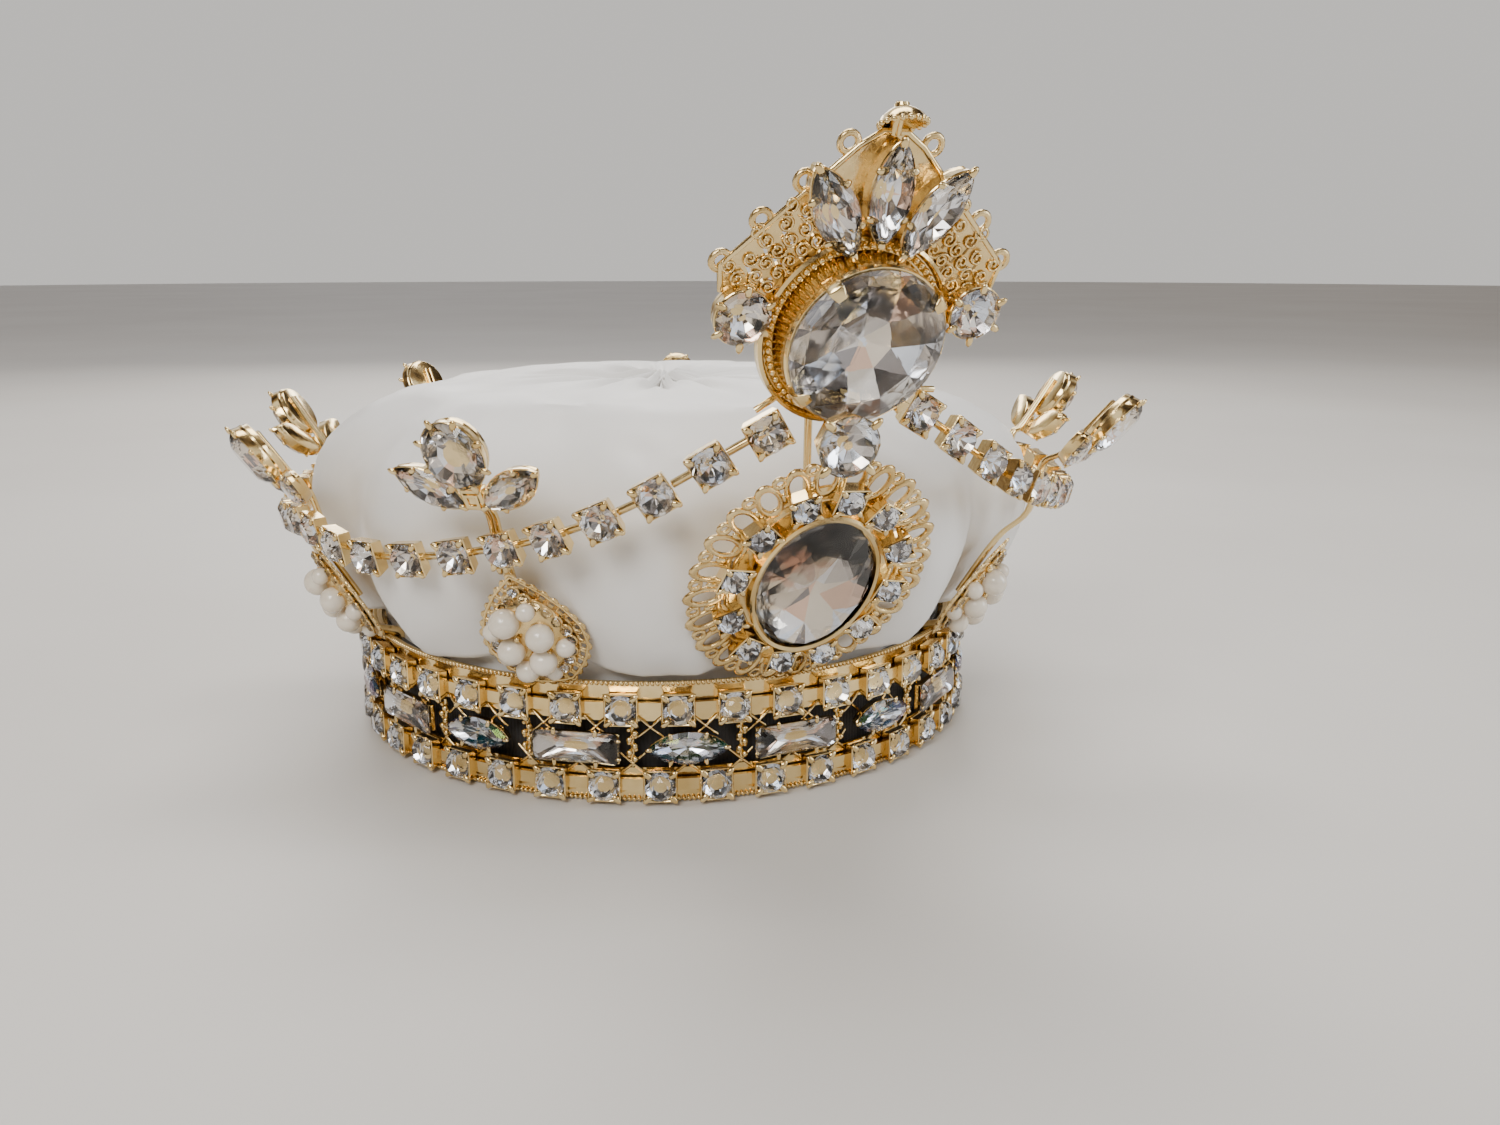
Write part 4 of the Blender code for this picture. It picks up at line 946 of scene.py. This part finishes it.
def medallion(place):
    parts = []
    for k in range(LACE_LOOPS):
        x, y = oval_point(k, 0.90)
        turn = np.degrees(atan2(y, x)) - 90
        parts.append(loop(2.5, 4.3, 0.72, x, y, 0.8, turn, 16))
        x, y = oval_point(k + 0.5, 1.0)
        turn = np.degrees(atan2(y, x)) - 90
        parts.append(loop(1.35, 1.3, 0.6, x, y, 0.8, turn, 10))
        x, y = oval_point(k + 0.5, 0.86)
        parts.append(grain(x, y, 1.0, 0.9, 1.6, turn + 90))
    for reach, wire in ((0.79, 0.7), (0.72, 0.8)):
        ring = [oval_point(k / 3, reach) for k in range(3 * LACE_LOOPS + 1)]
        parts.append(rod([(x, y, 0.8) for x, y in ring], wire, 1, material=SOFT_GOLD))
    finished(joined([moved(p, place) for p in parts]), "medallion_lace", ["medallion_setting"])
    width, length = MEDALLION_STONE["width"] / 2 + 1.2, MEDALLION_STONE["length"] / 2 + 1.2
    bed = turned(((0.0, 0.5), (1.32, 0.5), (1.32, 1.3), (1.03, 1.5), (1.03, 4.4), (1.0, 4.9), (0.955, 4.6),
                  (0.955, 1.6), (0.0, 1.6)), 64, (width, length))
    cup = joined([box_cup(3.7, 3.9, 0.5, 2.8)] + claws(4, 3.95, 3.95, 4.2, 0.7))
    seats = []
    for k in range(MEDALLION_CUPS):
        t = tau * (k + 0.5) / MEDALLION_CUPS
        x, y = MEDALLION_RING[0] * cos(t), MEDALLION_RING[1] * sin(t)
        seats.append(flat_turn(np.degrees(atan2(y, x)), x, y, 0.5))
    ring = joined([bed] + copies(cup, seats))
    finished(moved(ring, place), "medallion_cups")
    small = copies(round_stone(3.4, 0.8, 3.7, 5.6, 8), [seat @ flat_turn(9.0 * k) for k, seat in enumerate(seats)])
    finished(vary(moved(joined(small), place)), "medallion_chatons")
    medallion_big_stone(place)
    hook = rod([(0, -33.5, 0.2), (0, -31.0, 0.6), (0, -29.0, 0.8)], 1.6, 1)
    finished(moved(hook, place), "medallion_hook")


def medallion_big_stone(place):
    rings = ((0.16, 7.4, 5, 0.2), (0.62, 6.7, 9, 0.0), (0.9, 5.2, 14, 0.5), (1.0, 4.0, 28, 0.0),
             (0.995, 3.6, 28, 0.0), (0.55, 2.3, 7, 0.3), (0.12, 1.7, 5, 0.0))
    stone = cut_stone(rings, MEDALLION_STONE["width"] / 2, MEDALLION_STONE["length"] / 2, 4.0, foil=WARM_FOIL_PAINTED_REFLECTIONS)
    finished(vary(moved(stone, place)), "medallion_stone_cut", ["medallion_stone"])


def drop():
    place = bench(DROP_PLACE["azimuth"], DROP_PLACE["radius"], DROP_PLACE["height"], DROP_PLACE["lean"])
    cup = joined([shaped_cup(8, 7.3, 7.3, 4.2, 0.6, 3.0)] + claws(4, 7.1, 7.1, 5.0, 1.0))
    finished(moved(cup, place), "drop_cup")
    stone = round_stone(6.9, 0.9, 4.5, 7.4, 10, 0.6, foil=WARM_FOIL_PAINTED_REFLECTIONS)
    finished(vary(moved(stone, place)), "drop_stone_cut", ["drop_stone"])


# The crest

def fan_points():
    right = list(FAN_EDGE)
    left = [(-x, y) for x, y in reversed(right)]
    return right + left + [(-CREST_FOOT[0], CREST_FOOT[1]), CREST_FOOT]


def fan_slots(sheet):
    """Cuts the slanting slots through the fan with one joined cutter."""
    cutters = []
    for side in (-1, 1):
        for column in range(4):
            for line in range(3):
                angle, reach = radians(28 + 10 * column), 22.6 + 3.0 * line
                x, y = side * reach * cos(angle), reach * sin(angle)
                bpy.ops.mesh.primitive_cube_add(size=1.0, scale=(2.6, 0.7, 4.0), location=(x, y, 0.5),
                                                rotation=(0, 0, radians(side * 58)))
                cutters.append(settle())
    cutter = joined(cutters)
    cut = sheet.modifiers.new("slots", "BOOLEAN")
    cut.object, cut.operation, cut.solver = cutter, "DIFFERENCE", "EXACT"
    apply_all(sheet)
    bpy.data.objects.remove(cutter, do_unlink=True)


def scroll(size, turns, hand):
    """A wire rolled into a scroll with a tail."""
    points = []
    for t in np.linspace(0.0, 1.0, 22):
        reach = size * (0.18 + 0.82 * t)
        angle = hand * turns * tau * t
        points.append((reach * cos(angle), reach * sin(angle), 0.0))
    points.append((points[-1][0] + 0.6 * size, points[-1][1] + hand * 0.5 * size, 0.0))
    return rod(points, 0.34, 0)


def crest_filigree():
    parts = []
    for side in (-1, 1):
        for ring, (reach, count) in enumerate(((23.0, 7), (26.6, 7), (30.0, 5), (33.0, 3))):
            for k in range(count):
                angle = radians(17 + ring * 3 + (50 - 7 * ring) * k / max(count - 1, 1))
                model = scroll(1.75, 1.4, side * (-1) ** k)
                parts.append(moved(model, flat_turn(47 * k + 90 * ring, side * reach * cos(angle),
                                                    reach * sin(angle), 1.5)))
    return parts


def crest_metal(place):
    sheet = plate(fan_points(), 0.0, 1.1)
    fan_slots(sheet)
    parts = [smooth(soften(sheet, 0.15, 1))]
    edge = [Vector((x, y, 1.0)) for x, y in fan_points()[:8]]
    parts.append(rod(edge, 0.7, 1))
    parts += crest_filigree()
    for tab in RING_TABS:
        for side in (-1, 1):
            parts.append(loop(1.9, 1.9, 0.75, side * tab[0], tab[1], 0.6, 0, 16))
    finished(moved(joined(parts), place), "crest_fan", ["crest_setting"])


def crest_bezel(place):
    wall = turned(((0.0, 0.3), (21.2, 0.3), (21.6, 1.0), (21.4, 2.8), (20.7, 3.2), (20.2, 2.6), (20.0, 1.6),
                   (17.9, 1.6), (17.6, 2.4), (17.4, 7.4), (17.9, 8.2), (17.7, 9.2), (16.9, 9.3), (16.4, 8.4),
                   (16.2, 1.4), (0.0, 1.4)), 72)
    parts = [wall]
    count = 64
    bead = grain(0, 0, 0, 0.85, None, 0.0, 8, 5)
    spots = [flat_turn(0, 19.0 * cos(tau * k / count), 19.0 * sin(tau * k / count), 2.2) for k in range(count)]
    parts += copies(bead, spots)
    for angle in (38, 128, 218, 308):
        parts.append(crest_claw(angle))
    finished(moved(joined(parts), place), "crest_bezel")


def crest_claw(angle):
    """A flat claw that folds over the big stone's edge."""
    bpy.ops.mesh.primitive_cube_add(size=1.0, scale=(1.0, 3.4, 3.0), location=(17.9, 0.0, 8.4))
    claw = settle()
    with at_work(claw):
        choose(claw, lambda f: f.normal.z > 0.9)
        push(1.5)
        bpy.ops.transform.translate(value=(-0.7, 0.0, 0.0))
        push(0.7)
        bpy.ops.transform.translate(value=(-1.6, 0.0, 0.0))
        bpy.ops.transform.resize(value=(1.0, 0.6, 1.0), center_override=(0, 0, 0))
    soften(claw, 0.25, 2)
    return moved(dressed(smooth(claw), GOLD), flat_turn(angle))


def crest_big_stone(place):
    rings = ((0.30, 13.6, 7, 0.0), (0.60, 13.0, 9, 0.4), (0.82, 11.9, 13, 0.2), (0.96, 10.6, 17, 0.5),
             (1.0, 9.8, 34, 0.0), (1.0, 9.2, 34, 0.0), (0.72, 6.2, 11, 0.3), (0.36, 3.6, 7, 0.1), (0.05, 2.6, 5, 0.0))
    stone = cut_stone(rings, 17.4, 17.4, 9.8, foil=WARM_FOIL_PAINTED_REFLECTIONS)
    finished(vary(moved(stone, place)), "crest_stone_cut", ["crest_stone"])


def crest_small_stones(place):
    settings = []
    for seat in CREST_FAN:
        turn = flat_turn(seat["lean"], seat["across"], seat["up"], 0.5)
        cup = shaped_cup(28, 4.7, 10.8, 4.4, 0.5, 3.2, "pointed")
        grips = [grain(x, y, 5.0, 0.95, 1.7, 0 if x else 90)
                 for x, y in ((-3.2, -4.8), (3.2, -4.8), (-3.2, 4.8), (3.2, 4.8), (0, -10.2), (0, 10.2))]
        settings += [moved(part, turn) for part in [cup] + grips]
        stone = pointed_stone(4.6, 10.6, 0.9, 5.0, 7.4, foil=WARM_FOIL_PAINTED_REFLECTIONS)
        name = f"crest_navette_{seat['label']}"
        finished(vary(moved(stone, place @ turn)), f"{name}_cut", [name])
    for label, side in (("left", -1), ("right", 1)):
        turn = flat_turn(0, side * CREST_ROUND["across"], CREST_ROUND["up"], 0.4)
        cup = shaped_cup(24, 6.2, 6.2, 4.2, 0.5, 3.0)
        settings += [moved(part, turn) for part in [cup] + claws(6, 5.9, 5.9, 5.0, 0.85)]
        stone = round_stone(5.9, 0.9, 4.7, 7.4, 10, 0.5, foil=WARM_FOIL_PAINTED_REFLECTIONS)
        name = f"crest_round_{label}"
        finished(vary(moved(stone, place @ turn)), f"{name}_cut", [name])
    finished(moved(joined(settings), place), "crest_stone_cups")


def crest_finial(place):
    horn = turned(((0.0, 0.0), (1.4, 0.0), (1.5, 0.6), (2.6, 1.2), (4.0, 2.2), (4.7, 3.4), (4.4, 3.9), (3.6, 3.2),
                   (2.2, 2.4), (1.3, 2.2), (0.9, 1.4), (0.0, 1.4)), 28)
    beads = copies(grain(0, 0, 0, 0.62, None, 0.0, 8, 5),
                   [flat_turn(0, 4.55 * cos(tau * k / 18), 4.55 * sin(tau * k / 18), 3.7) for k in range(18)])
    tilt = Matrix.Translation((0.0, 46.8, 1.2)) @ Matrix.Rotation(radians(55), 4, "X")
    parts = [moved(part, tilt) for part in [horn] + beads]
    parts.append(rod([(0, 41.0, 0.9), (0, 44.0, 1.0), (0, 46.8, 1.3)], 1.3, 2))
    finished(moved(joined(parts), place), "crest_finial_horn", ["crest_finial"])


def crest_struts(place):
    parts = []
    for side in (-1, 1):
        parts.append(rod([(side * 4.5, -r, z) for r, z in STRUT_PATH], 1.0, 1))
    frames = garland_frames()
    for end, side in ((frames[0], 1), (frames[-1], -1)):
        head = place @ Vector((side * LINK_HEAD[0], LINK_HEAD[1], LINK_HEAD[2]))
        foot = end @ Vector((0.0, -1.8, GARLAND_CUP / 2 + 0.6))
        bow = (head + foot) / 2 + Vector((side * 0.8, -1.2, 0.0))
        parts.append(rod([foot, bow, head], 0.8, 1))
    finished(joined(parts), "crest_struts")


# The padded cap and the near-black strip inside the band

def cap_profile(share, azimuth):
    """A point of the cap from its hem, share 0, to its gathered centre, share 1."""
    height, at_post, between, shift = CAP_CURVE[min(int(share * (len(CAP_CURVE) - 1) + 0.5), len(CAP_CURVE) - 1)]
    lobe = ((1 - cos(CAP_LOBES * azimuth)) / 2) ** 1.15
    radius = at_post + (between - at_post) * lobe
    return Vector((radius * sin(azimuth) + shift, -radius * cos(azimuth), height))


CAP_CURVE = smooth_route([[r[key] for key in ("height", "at_post", "between", "shift")] for r in CAP_RINGS], 40)


def gathers(point, azimuth, folds):
    """How far the satin is pushed by the gathers at the crown and the tucks at the hem."""
    reach = hypot(point.x, point.y)
    crown = np.exp(-((reach - 14.0) / 24.0) ** 2) if point.z > 85 else 0.0
    hem = np.exp(-((point.z - 36.0) / 9.0) ** 2)
    wave = sum(a * cos(n * azimuth + phase) for n, a, phase in folds["crown"])
    tuck = sum(a * cos(n * azimuth + phase) for n, a, phase in folds["hem"])
    return 2.6 * crown * wave, 1.5 * hem * tuck


def cap():
    folds = {
        "crown": [(n, a, chance.uniform(0, tau)) for n, a in ((13, 0.55), (21, 0.45), (34, 0.25), (5, 0.35))],
        "hem": [(n, a, chance.uniform(0, tau)) for n, a in ((31, 0.5), (47, 0.35), (18, 0.5))],
    }
    columns, rows = 180, 120
    bpy.ops.mesh.primitive_uv_sphere_add(segments=columns, ring_count=rows, radius=1.0)
    satin = settle()
    with at_work(satin, "VERT"):
        bpy.ops.mesh.select_all(action="SELECT")
        bpy.ops.mesh.bisect(plane_co=(0, 0, 0.001), plane_no=(0, 0, 1), clear_inner=True)
    for corner in satin.data.vertices:
        share = 1 - 2 / pi * atan2(hypot(corner.co.x, corner.co.y), corner.co.z)
        azimuth = atan2(corner.co.x, -corner.co.y)
        corner.co = cap_profile(share, azimuth)
    swell(satin)
    for corner in satin.data.vertices:
        azimuth = atan2(corner.co.x, -corner.co.y)
        lift, tuck = gathers(corner.co, azimuth, folds)
        out = Vector((corner.co.x, corner.co.y, 0.0)).normalized()
        corner.co += Vector((0, 0, lift)) + out * (tuck + 0.4 * lift)
    uv = satin.data.uv_layers.new(name="cloth")
    for spot in satin.data.loops:
        point = satin.data.vertices[spot.vertex_index].co
        uv.data[spot.index].uv = (point.x / 10, (point.y + point.z) / 10)
    wall = satin.modifiers.new("wall", "SOLIDIFY")
    wall.thickness, wall.offset = 2.4, -1.0
    apply_all(satin)
    satin.data.shade_smooth()
    dressed(satin, SATIN)
    finished(satin, "cap_satin", ["cap"])


def swell(satin):
    """Blows the cloth up a little from inside, held at its hem and at its gathered centre."""
    start = [corner.co.copy() for corner in satin.data.vertices]
    held = satin.vertex_groups.new(name="held")
    held.add([k for k, p in enumerate(start) if p.z < 35.0 or hypot(p.x, p.y) < 7.0], 1.0, "REPLACE")
    satin.data.transform(Matrix.Scale(MM, 4))
    cloth = satin.modifiers.new("cloth", "CLOTH")
    cloth.settings.vertex_group_mass = "held"
    cloth.settings.use_pressure = True
    cloth.settings.uniform_pressure_force = 4.0
    cloth.settings.shrink_min = -0.05
    cloth.settings.effector_weights.gravity = 0.0
    cloth.point_cache.frame_start, cloth.point_cache.frame_end = 1, 20
    for number in range(1, 21):
        bpy.context.scene.frame_set(number)
    apply_all(satin)
    bpy.context.scene.frame_set(1)
    satin.data.transform(Matrix.Scale(1 / MM, 4))
    for corner, before in zip(satin.data.vertices, start):
        move = corner.co - before
        if move.length > 5.0:
            corner.co = before + move.normalized() * 5.0
    satin.vertex_groups.clear()


def inner_strip():
    # A near-black strip just inside the band, which shows dark through the band's gaps.
    strip = hoop(BAND_R - BAND_WALL - 1.5, 0.5, 1.6, 30.6, 120, DARK_INNER_STRIP)
    uv = strip.data.uv_layers.active or strip.data.uv_layers.new()
    uv.name = "cloth"
    finished(strip, "inner_ribbon")


# The studio

def area_light(name, place, target, size, power, colour):
    light = bpy.data.lights.new(name, "AREA")
    light.shape, light.size, light.size_y = "RECTANGLE", size[0], size[1]
    light.energy, light.color = power, colour
    lamp = bpy.data.objects.new(name, light)
    lamp.location = place
    lamp.rotation_euler = (Vector(target) - Vector(place)).to_track_quat("-Z", "Y").to_euler()
    bpy.context.collection.objects.link(lamp)


def studio():
    bpy.ops.mesh.primitive_circle_add(vertices=96, radius=6.0, fill_type="NGON", location=(0, 0, -0.0002))
    floor = bpy.context.object
    floor.name = "studio_floor"
    made, nodes, links, shader = new_material("pale_floor")
    links.new(ramp(nodes, links, noise(nodes, links, 3.0, 4.0), ((0.3, (0.66, 0.635, 0.60)), (0.7, (0.72, 0.70, 0.665)))),
              shader.inputs["Base Color"])
    shader.inputs["Roughness"].default_value = 0.55
    dressed(floor, made)
    area_light("key", (-0.75, -0.95, 0.95), (0, 0, 0.08), (0.7, 0.5), 13.0, (1.0, 0.98, 0.95))
    area_light("fill", (1.1, -0.6, 0.55), (0, 0, 0.08), (0.35, 0.9), 6.0, (0.90, 0.95, 1.0))
    area_light("top", (0.1, 0.35, 1.2), (0, 0, 0.05), (0.9, 0.5), 11.0, (1.0, 0.98, 0.96))
    area_light("back", (0.3, 1.1, 0.5), (0, 0, 0.1), (0.9, 0.3), 5.0, (1.0, 0.95, 0.88))
    room()


def room():
    """Pale to the eye, and to the stones and metal a room of light and dark patches."""
    world = bpy.data.worlds.new("studio_room")
    bpy.context.scene.world = world
    world.use_nodes = True
    nodes, links = world.node_tree.nodes, world.node_tree.links
    nodes.clear()
    out = nodes.new("ShaderNodeOutputWorld")
    direction = nodes.new("ShaderNodeTexCoord").outputs["Generated"]
    patches = nodes.new("ShaderNodeTexNoise")
    patches.inputs["Scale"].default_value = 1.6
    patches.inputs["Detail"].default_value = 1.0
    links.new(direction, patches.inputs["Vector"])
    tone = ramp(nodes, links, patches.outputs["Fac"], (
        (0.36, (0.045, 0.036, 0.03)), (0.46, (0.26, 0.19, 0.13)), (0.54, (0.60, 0.55, 0.48)), (0.64, (1.3, 1.34, 1.42))))
    seen = nodes.new("ShaderNodeBackground")
    seen.inputs["Color"].default_value = (0.70, 0.68, 0.65, 1.0)
    felt = nodes.new("ShaderNodeBackground")
    links.new(tone, felt.inputs["Color"])
    felt.inputs["Strength"].default_value = 0.9
    ray = nodes.new("ShaderNodeLightPath").outputs["Is Camera Ray"]
    mix = nodes.new("ShaderNodeMixShader")
    links.new(ray, mix.inputs["Fac"])
    links.new(felt.outputs["Background"], mix.inputs[1])
    links.new(seen.outputs["Background"], mix.inputs[2])
    links.new(mix.outputs["Shader"], out.inputs["Surface"])


def camera():
    eye = bpy.data.cameras.new("photo_view")
    eye.lens, eye.sensor_width, eye.clip_start = 30.76, 36.0, 0.01
    stand = bpy.data.objects.new("photo_view", eye)
    stand.location = (-0.1210, -0.3697, 0.1349)
    stand.rotation_euler = (radians(76.4), 0.0, radians(-22.0))
    bpy.context.collection.objects.link(stand)
    bpy.context.scene.camera = stand


def build():
    camera()
    band_strips()
    band_beads()
    band_wirework()
    stone_rows()
    middle_row()
    pearl_leaves()
    sprays()
    garland()
    medallion(bench(*(MEDALLION[key] for key in ("azimuth", "radius", "height", "lean", "roll"))))
    drop()
    crest_place = bench(*(CREST[key] for key in ("azimuth", "radius", "height", "lean", "roll")))
    crest_metal(crest_place)
    crest_bezel(crest_place)
    crest_big_stone(crest_place)
    crest_small_stones(crest_place)
    crest_finial(crest_place)
    crest_struts(crest_place)
    cap()
    inner_strip()
    studio()


build()
